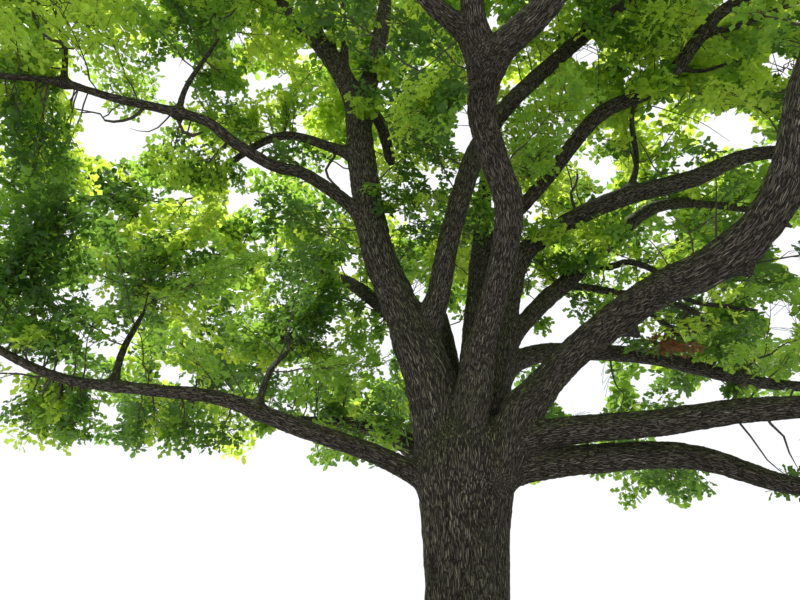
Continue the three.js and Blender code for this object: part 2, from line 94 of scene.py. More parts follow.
# Each bough: what it springs from, and its stations as x, y, z and thickness.
BOUGHS: dict[str, tuple[str, tuple[Station, ...]]] = {
    "left_leader": ("trunk", (
        (-0.26, 0.04, 3.1, 1.0), (-0.56, 0.05, 4.83, 0.88), (-1.14, 0.1, 6.59, 0.71),
        (-1.53, 0.15, 7.6, 0.67), (-1.95, 0.3, 10.1, 0.63), (-2.05, 0.4, 11.5, 0.59),
        (-1.88, 0.5, 12.4, 0.47), (-1.54, 0.9, 15.1, 0.39), (-1.5, 1.0, 16.5, 0.26),
    )),
    "left_leader_fork": ("left_leader", (
        (-2.04, 0.4, 11.3, 0.5), (-2.42, 0.4, 12.5, 0.47), (-3.3, 0.4, 14.0, 0.43), (-4.1, 0.5, 15.1, 0.3),
    )),
    "inner_leader": ("left_leader", (
        (-0.7, 0.08, 5.6, 0.62), (-0.36, -0.02, 6.62, 0.46), (-0.13, -0.1, 7.75, 0.43),
        (0.35, -0.1, 9.45, 0.45), (0.69, 0.0, 10.36, 0.43), (1.5, 0.2, 11.7, 0.39),
        (4.05, 0.6, 14.63, 0.35), (5.2, 0.9, 15.9, 0.24),
    )),
    "winding_bough": ("trunk", (
        (0.06, -0.25, 3.05, 0.62), (0.15, -0.45, 4.7, 0.5), (0.51, -0.8, 5.9, 0.5), (0.79, -1.25, 7.0, 0.5),
        (0.84, -1.65, 7.7, 0.51), (0.52, -2.2, 8.32, 0.5), (0.28, -2.85, 8.88, 0.5), (0.4, -3.6, 9.15, 0.5),
        (0.98, -5.0, 8.85, 0.4), (1.7, -6.2, 9.7, 0.28),
    )),
    "winding_bough_left_fork": ("winding_bough", (
        (0.24, -3.3, 9.05, 0.4), (-0.02, -3.75, 9.45, 0.35), (-0.7, -4.4, 9.56, 0.29),
        (-1.6, -5.2, 10.6, 0.22),
    )),
    "winding_bough_middle_fork": ("winding_bough", (
        (0.33, -3.5, 9.12, 0.43), (0.08, -3.95, 9.5, 0.38), (0.0, -4.3, 10.6, 0.34),
        (0.2, -4.2, 13.3, 0.22),
    )),
    "rear_leader": ("trunk", (
        (0.08, 0.3, 3.2, 0.56), (0.26, 0.8, 5.2, 0.42), (0.62, 1.3, 7.8, 0.37), (0.93, 1.6, 9.9, 0.35),
        (1.3, 2.0, 12.7, 0.32), (0.9, 2.9, 15.9, 0.24),
    )),
    "high_right_limb": ("rear_leader", (
        (0.64, 1.3, 7.9, 0.32), (1.2, 1.2, 8.8, 0.31), (2.3, 1.0, 10.05, 0.32), (3.6, 0.4, 11.5, 0.36),
        (4.86, -0.1, 11.9, 0.33), (6.3, -0.7, 13.5, 0.28), (7.2, -1.05, 13.9, 0.23),
    )),
    "right_upper_bough": ("trunk", (
        (0.35, 0.25, 3.3, 0.62), (0.8, 0.52, 5.3, 0.45), (1.3, 1.0, 7.16, 0.42), (1.64, 1.12, 8.15, 0.43),
        (2.39, 1.2, 8.8, 0.43), (3.97, 1.2, 9.66, 0.44), (5.8, 1.1, 10.17, 0.42), (7.02, 0.9, 10.65, 0.35),
        (8.0, 0.4, 10.48, 0.27),
    )),
    "upright_branch": ("right_upper_bough", (
        (4.15, 1.2, 9.7, 0.19), (4.56, 1.2, 10.55, 0.14), (4.68, 1.15, 12.1, 0.12),
        (4.95, 1.1, 12.7, 0.095),
    )),
    "right_rear_bough": ("trunk", (
        (0.48, 0.3, 3.5, 0.52), (0.87, 0.6, 5.45, 0.36), (1.59, 1.0, 6.55, 0.34), (2.7, 1.7, 7.75, 0.39),
        (4.0, 2.4, 9.1, 0.38), (5.5, 2.9, 10.45, 0.34), (6.5, 3.2, 10.88, 0.25),
    )),
    "right_thin_bough": ("right_rear_bough", (
        (1.7, 1.08, 6.7, 0.23), (2.5, 1.9, 7.7, 0.19), (4.2, 2.5, 7.85, 0.175), (6.4, 3.5, 7.8, 0.15),
        (7.1, 4.3, 7.7, 0.13),
    )),
    "right_middle_bough": ("trunk", (
        (0.48, 0.35, 3.4, 0.52), (0.95, 0.7, 5.25, 0.43), (1.6, 1.1, 5.78, 0.41), (3.03, 1.65, 6.05, 0.37),
        (4.6, 2.05, 6.04, 0.34), (6.9, 2.4, 5.6, 0.29), (7.9, 2.3, 5.45, 0.22),
    )),
    "great_right_bough": ("trunk", (
        (0.52, -0.2, 3.2, 0.7), (1.25, -0.33, 4.45, 0.58), (1.88, -0.55, 5.15, 0.56),
        (2.98, -2.05, 5.78, 0.56), (3.25, -3.25, 5.6, 0.56), (3.64, -3.95, 5.83, 0.51),
        (3.79, -4.6, 6.25, 0.49), (3.95, -5.1, 7.15, 0.46), (4.6, -5.9, 8.9, 0.28),
    )),
    "right_level_bough": ("trunk", (
        (0.3, -0.28, 3.5, 0.56), (1.39, -0.42, 3.85, 0.47), (3.02, -1.1, 3.88, 0.44),
        (3.96, -1.7, 3.92, 0.39), (5.3, -2.7, 3.9, 0.29), (6.6, -3.6, 4.7, 0.21),
    )),
    "right_low_bough": ("trunk", (
        (0.25, -0.06, 3.1, 0.62), (1.14, -0.15, 3.33, 0.51), (3.18, -0.5, 3.48, 0.46),
        (3.97, -0.6, 3.39, 0.4), (5.18, -0.8, 2.94, 0.29), (6.2, -0.9, 2.9, 0.24), (7.3, -0.95, 3.6, 0.18),
    )),
    "left_low_bough": ("trunk", (
        (-0.26, 0.0, 2.95, 0.48), (-0.98, -0.12, 3.3, 0.38), (-1.61, -0.3, 3.56, 0.33),
        (-2.89, -0.7, 3.93, 0.31), (-4.1, -1.0, 4.32, 0.24), (-5.32, -1.15, 4.43, 0.2),
        (-6.6, -1.35, 4.56, 0.165), (-7.55, -1.6, 4.95, 0.14), (-8.1, -1.75, 5.3, 0.12),
    )),
    "left_low_outer_branch": ("left_low_bough", (
        (-5.8, -1.2, 4.5, 0.14), (-5.86, -1.0, 5.11, 0.115), (-5.9, -0.5, 5.9, 0.095),
    )),
    "left_low_inner_branch": ("left_low_bough", (
        (-3.5, -0.88, 4.1, 0.14), (-3.39, -0.6, 4.9, 0.115), (-3.3, 0.2, 5.5, 0.095),
    )),
    "left_upper_bough": ("left_leader", (
        (-1.8, 0.22, 8.45, 0.38), (-2.15, 0.05, 8.76, 0.28), (-3.14, -0.5, 9.2, 0.25),
        (-3.6, -0.7, 9.18, 0.24), (-4.48, -1.2, 9.5, 0.22), (-4.86, -1.4, 9.74, 0.2),
        (-6.44, -2.1, 9.72, 0.15), (-7.24, -2.5, 9.72, 0.125), (-8.0, -3.1, 9.3, 0.11),
    )),
    "left_upper_outer_branch": ("left_upper_bough", (
        (-7.15, -2.45, 9.7, 0.12), (-7.28, -2.5, 10.5, 0.105), (-7.9, -2.3, 11.9, 0.085),
    )),
    "left_upper_inner_branch": ("left_upper_bough", (
        (-5.38, -1.62, 9.68, 0.13), (-5.33, -1.6, 10.4, 0.105), (-5.0, -1.5, 11.5, 0.085),
    )),
    "left_rear_limb": ("left_leader", (
        (-2.0, 0.3, 10.15, 0.3), (-2.7, 0.42, 10.56, 0.23), (-4.0, 0.9, 11.25, 0.2),
        (-5.6, 1.9, 11.0, 0.15), (-6.2, 2.4, 10.7, 0.13),
    )),
    "rear_left_low_bough": ("trunk", (
        (-0.25, 0.22, 3.2, 0.52), (-1.4, 1.5, 4.3, 0.38), (-3.6, 3.2, 4.9, 0.3), (-5.9, 4.5, 5.8, 0.2),
    )),
    "rear_low_bough": ("trunk", (
        (-0.06, 0.3, 3.1, 0.52), (-0.3, 2.0, 4.0, 0.38), (-0.9, 4.6, 4.7, 0.29), (-1.3, 7.3, 5.7, 0.2),
    )),
    "rear_right_low_bough": ("trunk", (
        (0.26, 0.28, 2.95, 0.48), (1.6, 1.9, 3.8, 0.36), (3.6, 4.2, 4.3, 0.28), (5.3, 6.3, 5.2, 0.19),
    )),
    "rear_left_bough": ("trunk", (
        (-0.12, 0.35, 3.6, 0.46), (-0.7, 1.3, 6.0, 0.4), (-2.2, 2.9, 8.2, 0.33), (-3.2, 4.3, 9.2, 0.27),
        (-4.5, 5.4, 10.1, 0.2),
    )),
    "rear_middle_bough": ("trunk", (
        (0.0, 0.42, 3.6, 0.46), (-0.06, 1.6, 6.0, 0.39), (-0.2, 3.6, 8.4, 0.32), (0.2, 6.6, 10.5, 0.2),
    )),
}

# Each mass of foliage: its bough, its middle, its half sizes, and its side where two share a bough.
MASSES: dict[str, tuple[str, Place, Place, int]] = {
    "left_crown_top": ("left_leader", (-1.9, 0.8, 18.5), (2.7, 2.7, 2.3), 0),
    "left_high_crown": ("left_leader_fork", (-5.3, 0.7, 16.0), (2.7, 2.7, 2.3), 0),
    "right_crown_top": ("inner_leader", (6.0, 1.5, 17.3), (2.9, 2.8, 2.4), 0),
    "front_right_crown": ("winding_bough", (2.3, -7.4, 11.9), (2.9, 2.7, 2.1), 0),
    "front_left_crown": ("winding_bough_left_fork", (-2.6, -6.4, 12.5), (2.9, 2.8, 2.2), 0),
    "front_crown_top": ("winding_bough_middle_fork", (0.4, -3.7, 15.5), (2.9, 2.8, 2.3), 0),
    "rear_crown_top": ("rear_leader", (1.6, 3.0, 18.7), (2.8, 2.7, 2.3), 1),
    "rear_left_high_crown": ("rear_leader", (-2.0, 5.1, 16.2), (2.8, 2.7, 2.3), -1),
    "right_front_high_crown": ("high_right_limb", (8.5, -3.6, 13.7), (2.7, 2.7, 2.2), 1),
    "right_high_crown": ("high_right_limb", (9.0, 1.8, 14.3), (2.7, 2.7, 2.2), -1),
    "right_crown": ("right_upper_bough", (9.6, -0.3, 10.6), (2.5, 2.7, 2.2), 0),
    "right_inner_crown": ("upright_branch", (4.9, 0.9, 14.0), (2.5, 2.5, 1.9), 0),
    "right_rear_crown": ("right_rear_bough", (8.4, 4.7, 11.2), (2.6, 2.6, 2.1), 1),
    "rear_right_high_crown": ("right_rear_bough", (5.6, 6.6, 13.2), (2.8, 2.7, 2.3), -1),
    "right_rear_low_crown": ("right_thin_bough", (8.5, 5.9, 7.9), (2.5, 2.4, 1.9), 0),
    "right_low_crown": ("right_middle_bough", (9.9, 2.3, 6.5), (2.5, 2.5, 2.0), 0),
    "right_front_crown": ("great_right_bough", (5.9, -7.0, 10.3), (2.7, 2.6, 2.3), 0),
    "right_front_low_crown": ("right_level_bough", (8.0, -4.7, 5.9), (2.6, 2.5, 2.0), 0),
    "right_skirt": ("right_low_bough", (9.3, -1.2, 4.7), (2.5, 2.4, 1.9), 0),
    "left_skirt": ("left_low_bough", (-9.9, -2.2, 5.9), (2.6, 2.6, 2.0), 0),
    "left_low_crown": ("left_low_outer_branch", (-6.2, 0.5, 7.4), (2.3, 2.3, 1.7), 0),
    "left_inner_low_crown": ("left_low_inner_branch", (-3.5, 1.7, 6.7), (1.9, 1.9, 1.4), 0),
    "left_crown": ("left_upper_bough", (-9.5, -4.0, 9.7), (2.6, 2.7, 2.1), 0),
    "left_outer_high_crown": ("left_upper_outer_branch", (-8.5, -1.7, 13.2), (2.7, 2.6, 2.0), 0),
    "left_inner_high_crown": ("left_upper_inner_branch", (-4.8, -2.2, 12.9), (2.5, 2.5, 1.9), 0),
    "left_rear_crown": ("left_rear_limb", (-8.0, 2.9, 10.4), (2.7, 2.7, 2.2), 0),
    "rear_left_low_crown": ("rear_left_low_bough", (-7.4, 6.0, 6.8), (2.8, 2.7, 2.2), 0),
    "rear_low_crown": ("rear_low_bough", (-1.6, 9.3, 6.7), (2.9, 2.6, 2.2), 0),
    "rear_right_low_crown": ("rear_right_low_bough", (4.7, 8.8, 6.3), (2.7, 2.6, 2.1), 0),
    "rear_left_crown": ("rear_left_bough", (-5.6, 7.0, 11.6), (2.9, 2.7, 2.3), 0),
    "rear_crown": ("rear_middle_bough", (0.4, 8.6, 12.0), (2.9, 2.7, 2.3), 0),
}

# The trunk's rings: height, diameter, and how far the middle stands off in x and y.
TRUNK_RINGS: tuple[Station, ...] = (
    (0.0, 1.96, 0.0, 0.0),
    (0.18, 1.7, 0.0, 0.0),
    (0.48, 1.48, 0.0, 0.0),
    (1.0, 1.31, -0.025, 0.0),
    (1.7, 1.21, -0.06, 0.0),
    (2.3, 1.26, -0.07, 0.0),
    (2.85, 1.41, -0.045, 0.0),
    (3.35, 1.56, 0.0, 0.0),
    (3.75, 1.48, 0.06, 0.0),
    (4.05, 1.12, 0.11, 0.02),
    (4.2, 0.56, 0.14, 0.04),
)
ROOT_BUTTRESSES = 6
ROOT_SWELL = 0.13
ROOT_SWELL_HEIGHT = 0.7
# Each side branch: what it springs from, its thickness at foot and tip, how far its tip lies behind
# its foot, and the pixels that it passes from its bough outwards.
SIDE_BRANCHES: dict[str, tuple] = {
    "leader_upright": ("left_leader_fork", (0.2, 0.12), 0.8, ((345, 78), (345, 40), (343, 10), (346, -20))),
    "leader_small_prong": ("left_leader_fork", (0.12, 0.06), 0.6, (
        (343, 74), (338, 66), (334, 42), (333, 15),
    )),
    "leader_hanging_limb": ("left_leader", (0.3, 0.26), 0.5, (
        (366, 108), (378, 119), (387, 145), (391, 163),
    )),
    "drooping_twig": ("winding_bough_left_fork", (0.036, 0.01), -0.6, (
        (463, 34), (449, 47), (434, 61), (419, 72), (402, 83), (390, 94),
    )),
    "drooping_twig_fork": ("winding_bough", (0.035, 0.01), -0.3, (
        (478, 62), (460, 78), (452, 60), (445, 50),
    )),
    "high_limb_fork": ("high_right_limb", (0.16, 0.1), -0.5, ((700, 38), (742, 25), (770, 13), (800, 2))),
    "high_limb_branch": ("high_right_limb", (0.12, 0.05), 0.8, ((676, 66), (701, 71), (742, 59), (777, 48))),
    "winding_twig": ("upright_branch", (0.07, 0.02), -0.4, (
        (637, 140), (632, 118), (636, 100), (647, 89), (655, 66), (652, 48),
    )),
    "spreading_twig": ("upright_branch", (0.05, 0.012), -0.8, (
        (631, 112), (646, 106), (672, 112), (700, 122), (728, 140),
    )),
    "hooked_stub": ("right_upper_bough", (0.08, 0.06), 0.2, (
        (580, 216), (573, 203), (571, 193), (577, 182), (577, 172),
    )),
    "low_twig_on_upper_bough": ("right_upper_bough", (0.05, 0.015), -0.4, (
        (690, 178), (676, 173), (658, 172), (645, 150), (636, 136),
    )),
    "right_rear_bough_end": ("right_rear_bough", (0.24, 0.16), 0.4, (
        (672, 204), (700, 204), (730, 207), (757, 212), (790, 226),
    )),
    "hidden_limb": ("right_rear_bough", (0.2, 0.08), -0.6, (
        (588, 262), (608, 267), (628, 262), (657, 272), (689, 300), (722, 306), (755, 310),
    )),
    "broken_hook": ("right_thin_bough", (0.1, 0.05), -0.3, (
        (693, 309), (686, 314), (683, 322), (690, 330), (698, 334), (703, 345),
    )),
    "crossing_branch": ("right_middle_bough", (0.13, 0.1), 0.5, (
        (692, 362), (679, 337), (666, 324), (648, 313), (628, 296),
    )),
    "rising_twig": ("right_middle_bough", (0.075, 0.03), -0.8, (
        (741, 376), (756, 359), (770, 355), (782, 345), (802, 339),
    )),
    "hanging_twig": ("right_middle_bough", (0.055, 0.015), -0.3, (
        (608, 353), (611, 366), (617, 387), (624, 394), (617, 416),
    )),
    "great_bough_twig": ("great_right_bough", (0.035, 0.012), 0.5, (
        (696, 270), (693, 250), (690, 233), (678, 220), (662, 208),
    )),
    "great_bough_second_twig": ("great_right_bough", (0.035, 0.01), 0.6, (
        (676, 280), (660, 252), (640, 231),
    )),
    "low_hanging_twig": ("right_level_bough", (0.05, 0.012), -0.3, (
        (737, 414), (741, 425), (752, 438), (770, 463), (788, 476),
    )),
    "low_hanging_twig_outside": ("right_level_bough", (0.06, 0.02), -0.4, (
        (762, 408), (768, 421), (783, 435), (788, 450), (796, 465),
    )),
    "left_hook": ("left_upper_outer_branch", (0.09, 0.05), 0.4, (
        (66, 56), (64, 44), (50, 39), (41, 31), (34, 17), (28, -4),
    )),
    "left_hook_twig": ("left_upper_outer_branch", (0.045, 0.02), 0.2, ((66, 50), (73, 49), (80, 41))),
    "left_hanging_twig": ("left_upper_bough", (0.07, 0.02), 0.3, (
        (148, 110), (132, 118), (106, 121), (99, 113), (77, 113),
    )),
    "left_thin_twig": ("left_upper_bough", (0.035, 0.01), 0.2, (
        (168, 118), (156, 129), (145, 132), (132, 129),
    )),
    "left_broken_stub": ("left_upper_bough", (0.05, 0.09), 0.2, (
        (170, 116), (181, 127), (187, 136), (200, 133),
    )),
    "leader_hook": ("left_rear_limb", (0.07, 0.05), -0.2, (
        (334, 150), (334, 158), (326, 168), (329, 179), (338, 187),
    )),
    "great_bough_burl": ("great_right_bough", (0.36, 0.15), -0.1, ((728, 252), (740, 262), (749, 273))),
    "great_bough_upper_burl": ("great_right_bough", (0.4, 0.13), 0.0, ((735, 236), (748, 245), (758, 253))),
    "great_bough_small_burl": ("great_right_bough", (0.36, 0.15), 0.0, ((612, 316), (626, 326), (637, 335))),
    "winding_bough_rib": ("winding_bough", (0.5, 0.4), -0.85, (
        (486, 350), (480, 382), (474, 415), (470, 448), (468, 480),
    )),
    "left_leader_rib": ("left_leader", (0.8, 0.7), -1.25, (
        (427, 340), (433, 375), (438, 410), (442, 445), (446, 480),
    )),
    "great_bough_rib": ("great_right_bough", (0.5, 0.45), -0.75, (
        (530, 385), (518, 405), (508, 430), (502, 460), (498, 480),
    )),
}

FORK_MIDDLE = np.array((0.0, 0.0, 4.4))
FORK_REACH = 3.4
FAR = 9.0
TINY = 1e-9


class Zone(Enum):
    """A part of the crown, with the first words of its boughs' names."""

    LEFT = ("left", "inner")
    FRONT = ("winding", "great")
    RIGHT = ("right", "upright")
    REAR = ("rear", "high")

    @property
    def label(self) -> str:
        """The zone's word in the names of its pieces."""
        return self.name.lower()


def unit(vectors: Array) -> Array:
    """Vectors of length one, along the last axis."""
    length = np.linalg.norm(vectors, axis=-1, keepdims=True)
    return vectors / np.maximum(length, TINY)


def square_to(vector: Array, along: Array) -> Array:
    """The part of a vector that is square to a direction, at length one."""
    return unit(vector - np.sum(vector * along, axis=-1, keepdims=True) * along)


def tilted(random: Random, tilt: float, along: Array) -> Array:
    """An upward side, tilted by chance and square to a direction."""
    return square_to(np.array((*random.uniform(-tilt, tilt, 2), 1.0)), along)


def arc_of(points: Array) -> Array:
    """The length along a line at each of its points."""
    return np.concatenate(([0.0], np.cumsum(np.linalg.norm(np.diff(points, axis=0), axis=1))))


def on_line(at: Array, arc: Array, points: Array) -> Array:
    """The places at lengths along a line."""
    return np.stack([np.interp(at, arc, points[:, k]) for k in range(3)], axis=-1)


def leg_curve(before: Array, start: Array, end: Array, after: Array, shares: Array) -> Array:
    """Points on a centripetal Catmull-Rom leg.

    Args:
        before: The point before the leg.
        start: The leg's first point.
        end: The leg's last point.
        after: The point after the leg.
        shares: Where to give points, from 0 at start to 1 at end.

    Returns:
        One row of x, y and z for each share.
    """
    gaps = [math.sqrt(np.linalg.norm(b - a)) for a, b in ((before, start), (start, end), (end, after))]
    first = (start - before) / gaps[0] - (end - before) / (gaps[0] + gaps[1]) + (end - start) / gaps[1]
    last = (end - start) / gaps[1] - (after - start) / (gaps[1] + gaps[2]) + (after - end) / gaps[2]
    first, last = first * gaps[1], last * gaps[1]
    square = -3 * start + 3 * end - 2 * first - last
    cube = 2 * start - 2 * end + first + last
    shares = np.asarray(shares, dtype=float)[:, None]
    return start + shares * (first + shares * (square + shares * cube))


def to_legs(places: Array, points: Array, radii: Array) -> Measured:
    """How places lie to each leg of a line.

    Args:
        places: Rows of x, y and z.
        points: The line's points.
        radii: The radius at each of them.

    Returns:
        For each place and leg the share along the leg, the offset from it, the offset's length and
        the leg's radius there.
    """
    legs = np.diff(points, axis=0)
    squares = np.maximum((legs * legs).sum(1), TINY)
    shares = np.clip(((places[:, None] - points[:-1]) * legs).sum(2) / squares, 0, 1)
    offsets = places[:, None] - (points[:-1] + shares[..., None] * legs)
    return shares, offsets, np.linalg.norm(offsets, axis=2), radii[:-1] + shares * np.diff(radii)


def clear_of(places: Array, lines: list[tuple[Array, Array]], room: float) -> bool:
    """True where all places keep a distance from the surfaces of all lines."""
    for points, radii in lines:
        _, _, gaps, thick = to_legs(places, points, radii)
        if (gaps - thick < room).any():
            return False
    return True


@dataclass
class Line:
    """A limb's middle line with its radius, followed without twist.

    Args:
        points: The middle line's points.
        radii: The radius at each point.
        near: How far from the surface places are measured.
        run: How many legs are measured at once.
    """

    points: Array
    radii: Array
    near: float = 0.35
    run: int = 4

    @cached_property
    def arc(self) -> Array:
        """The length along the line at each point."""
        return arc_of(self.points)

    @cached_property
    def tangents(self) -> Array:
        """The line's direction at each point."""
        return unit(np.gradient(self.points, axis=0))

    @cached_property
    def across(self) -> Array:
        """A direction square to the line at each point, carried along it without twist."""
        rows = []
        across = np.array((1.0, 0.0, 0.0))
        for tangent in self.tangents:
            across = square_to(across, tangent)
            rows.append(across)
        return np.array(rows)

    @cached_property
    def ridge_scale(self) -> Array:
        """How much finer the bark is at each point than on the trunk."""
        return 1.0 / np.clip(0.45 + 1.2 * self.radii, 0.5, 1.0)

    @cached_property
    def grain_arc(self) -> Array:
        """The length along the line at each point, as the bark's pattern counts it."""
        steps = np.diff(self.arc) * (self.ridge_scale[1:] + self.ridge_scale[:-1]) / 2
        return self.points[0, 2] + np.concatenate(([0.0], np.cumsum(steps)))

    def measure(self, places: Array) -> Measured:
        """How places lie to the limb.

        Args:
            places: Rows of x, y and z.

        Returns:
            For each place the distance to the limb's surface, the direction away from the limb,
            the straightened place in the grain of its bark, and the limb's radius there.
        """
        distance, radius = np.full(len(places), FAR), np.ones(len(places))
        outward, grain = np.zeros((len(places), 3)), np.zeros((len(places), 3))
        reach = self.radii.max() + self.near
        for first in range(0, len(self.points) - 1, self.run):
            stretch = slice(first, min(first + self.run, len(self.points) - 1) + 1)
            low, high = self.points[stretch].min(0) - reach, self.points[stretch].max(0) + reach
            rows = np.flatnonzero(((places > low) & (places < high)).all(1))
            if not len(rows):
                continue
            found = self.measure_stretch(places[rows], stretch)
            nearer = found[0] < distance[rows]
            rows = rows[nearer]
            for whole, part in zip((distance, outward, grain, radius), found):
                whole[rows] = part[nearer]
        return distance, outward, grain, radius

    def measure_stretch(self, places: Array, stretch: slice) -> Measured:
        """The same as measure, for one stretch of the line."""
        shares, offsets, gaps, radii = to_legs(places, self.points[stretch], self.radii[stretch])
        best = np.argmin(gaps - radii, axis=1)
        rows = np.arange(len(places))
        share, gap, offset, radius = (each[rows, best] for each in (shares, gaps, offsets, radii))

        def along(values: Array) -> Array:
            values = values[stretch]
            weight = share if values.ndim == 1 else share[:, None]
            return values[best] * (1 - weight) + values[best + 1] * weight

        across, scale = along(self.across), along(self.ridge_scale)
        beside = np.cross(along(self.tangents), across)
        sideways = (offset * across).sum(1) * scale + self.points[0, 0]
        onwards = (offset * beside).sum(1) * scale + self.points[0, 1]
        grain = np.stack((sideways, onwards, along(self.grain_arc)), axis=1)
        return gap - radius, offset / np.maximum(gap, TINY)[:, None], grain, radius


@dataclass
class TrunkForm:
    """The trunk's round form, with buttressed roots at the ground."""

    below: float = 0.15
    below_wider: float = 1.04
    near: float = 0.35
    ring_steps: int = 8
    steepest: float = 2.5

    @cached_property
    def profile(self) -> Measured:
        """Heights with the radius and the middle's place there, smooth from ring to ring."""
        rings = np.array(TRUNK_RINGS)
        rings = np.vstack((rings[:1] * (1, self.below_wider, 1, 1) - (self.below, 0, 0, 0), rings))
        padded = np.vstack((2 * rings[0] - rings[1], rings, 2 * rings[-1] - rings[-2]))
        shares = np.linspace(0, 1, self.ring_steps, endpoint=False)
        rows = [leg_curve(*padded[i : i + 4], shares) for i in range(len(rings) - 1)]
        rows = np.vstack((*rows, rings[-1:]))
        return rows[:, 0], rows[:, 1] / 2, rows[:, 2], rows[:, 3]

    def radius(self, heights: Array, angles: Array) -> Array:
        """The trunk's radius at heights and angles round it."""
        swell = ROOT_SWELL * np.clip(1 - np.maximum(heights, 0) / ROOT_SWELL_HEIGHT, 0, 1)
        return np.interp(heights, *self.profile[:2]) * (1 + swell * np.cos(ROOT_BUTTRESSES * angles))

    def measure(self, places: Array) -> Measured:
        """How places lie to the trunk, with the same results as Line.measure."""
        levels, radii, shifts_x, shifts_y = self.profile
        heights = places[:, 2]
        middle = np.stack([np.interp(heights, levels, shift) for shift in (shifts_x, shifts_y)], axis=1)
        offset = places[:, :2] - middle
        gap = np.linalg.norm(offset, axis=1)
        radius = self.radius(heights, np.arctan2(offset[:, 1], offset[:, 0]))
        slope = np.clip(np.interp(heights, levels, np.gradient(radii, levels)), -self.steepest, self.steepest)
        cosine = 1 / np.sqrt(1 + slope**2)
        away = offset / np.maximum(gap, TINY)[:, None] * cosine[:, None]
        outward = np.column_stack((away, -slope * cosine))
        distance = (gap - radius) * cosine
        above = heights - levels[-1]
        over = above > distance
        distance = np.where(over, above, distance)
        outward[over] = (0, 0, 1)
        distance[(distance > self.near) | (distance < -self.near)] = FAR
        return distance, outward, places.copy(), radius

    def rings(self, sides: int) -> tuple[Array, list]:
        """Corners and faces of a closed tube round the trunk, with so many corners in each ring."""
        levels, _, shifts_x, shifts_y = self.profile
        angles = np.linspace(0, 2 * math.pi, sides, endpoint=False)
        level, angle = np.meshgrid(levels, angles, indexing="ij")
        radius = self.radius(level, angle)
        x, y = shifts_x[:, None] + radius * np.cos(angle), shifts_y[:, None] + radius * np.sin(angle)
        return np.stack((x, y, level), axis=2).reshape(-1, 3), tube_faces(len(levels), sides)


def tube_faces(rings: int, sides: int) -> list[list[int]]:
    """Faces of a closed tube whose corners come ring after ring, with a flat end at each end."""
    faces = []
    for i in range(rings - 1):
        for k in range(sides):
            a, b = i * sides + k, i * sides + (k + 1) % sides
            faces.append([a, b, b + sides, a + sides])
    last = (rings - 1) * sides
    return [*faces, list(range(sides))[::-1], list(range(last, last + sides))]


def tube(points: Array, radii: Array, sides: int, first_across: Place = (1.0, 0, 0)) -> tuple[Array, list]:
    """A closed tube round a line.

    Args:
        points: The line's points.
        radii: The radius at each of them.
        sides: How many corners each ring has.
        first_across: The direction of each ring's first corner, before it is made square.

    Returns:
        The corners as rows, and the faces as lists of corner numbers.
    """
    tangents = np.vstack((points[1:2] - points[:1], points[2:] - points[:-2], points[-1:] - points[-2:-1]))
    across = np.array(first_across)
    angles = np.linspace(0, 2 * math.pi, sides, endpoint=False)[:, None]
    rings = []
    for point, tangent, radius in zip(points, unit(tangents), radii):
        across = square_to(across, tangent)
        beside = np.cross(tangent, across)
        rings.append(point + radius * (np.cos(angles) * across + np.sin(angles) * beside))
    return np.vstack(rings), tube_faces(len(points), sides)


def face_tree(corners: Iterable, faces: Iterable) -> BVHTree:
    """Faces as a tree that tells what they overlap."""
    return BVHTree.FromPolygons([tuple(corner) for corner in corners], faces)


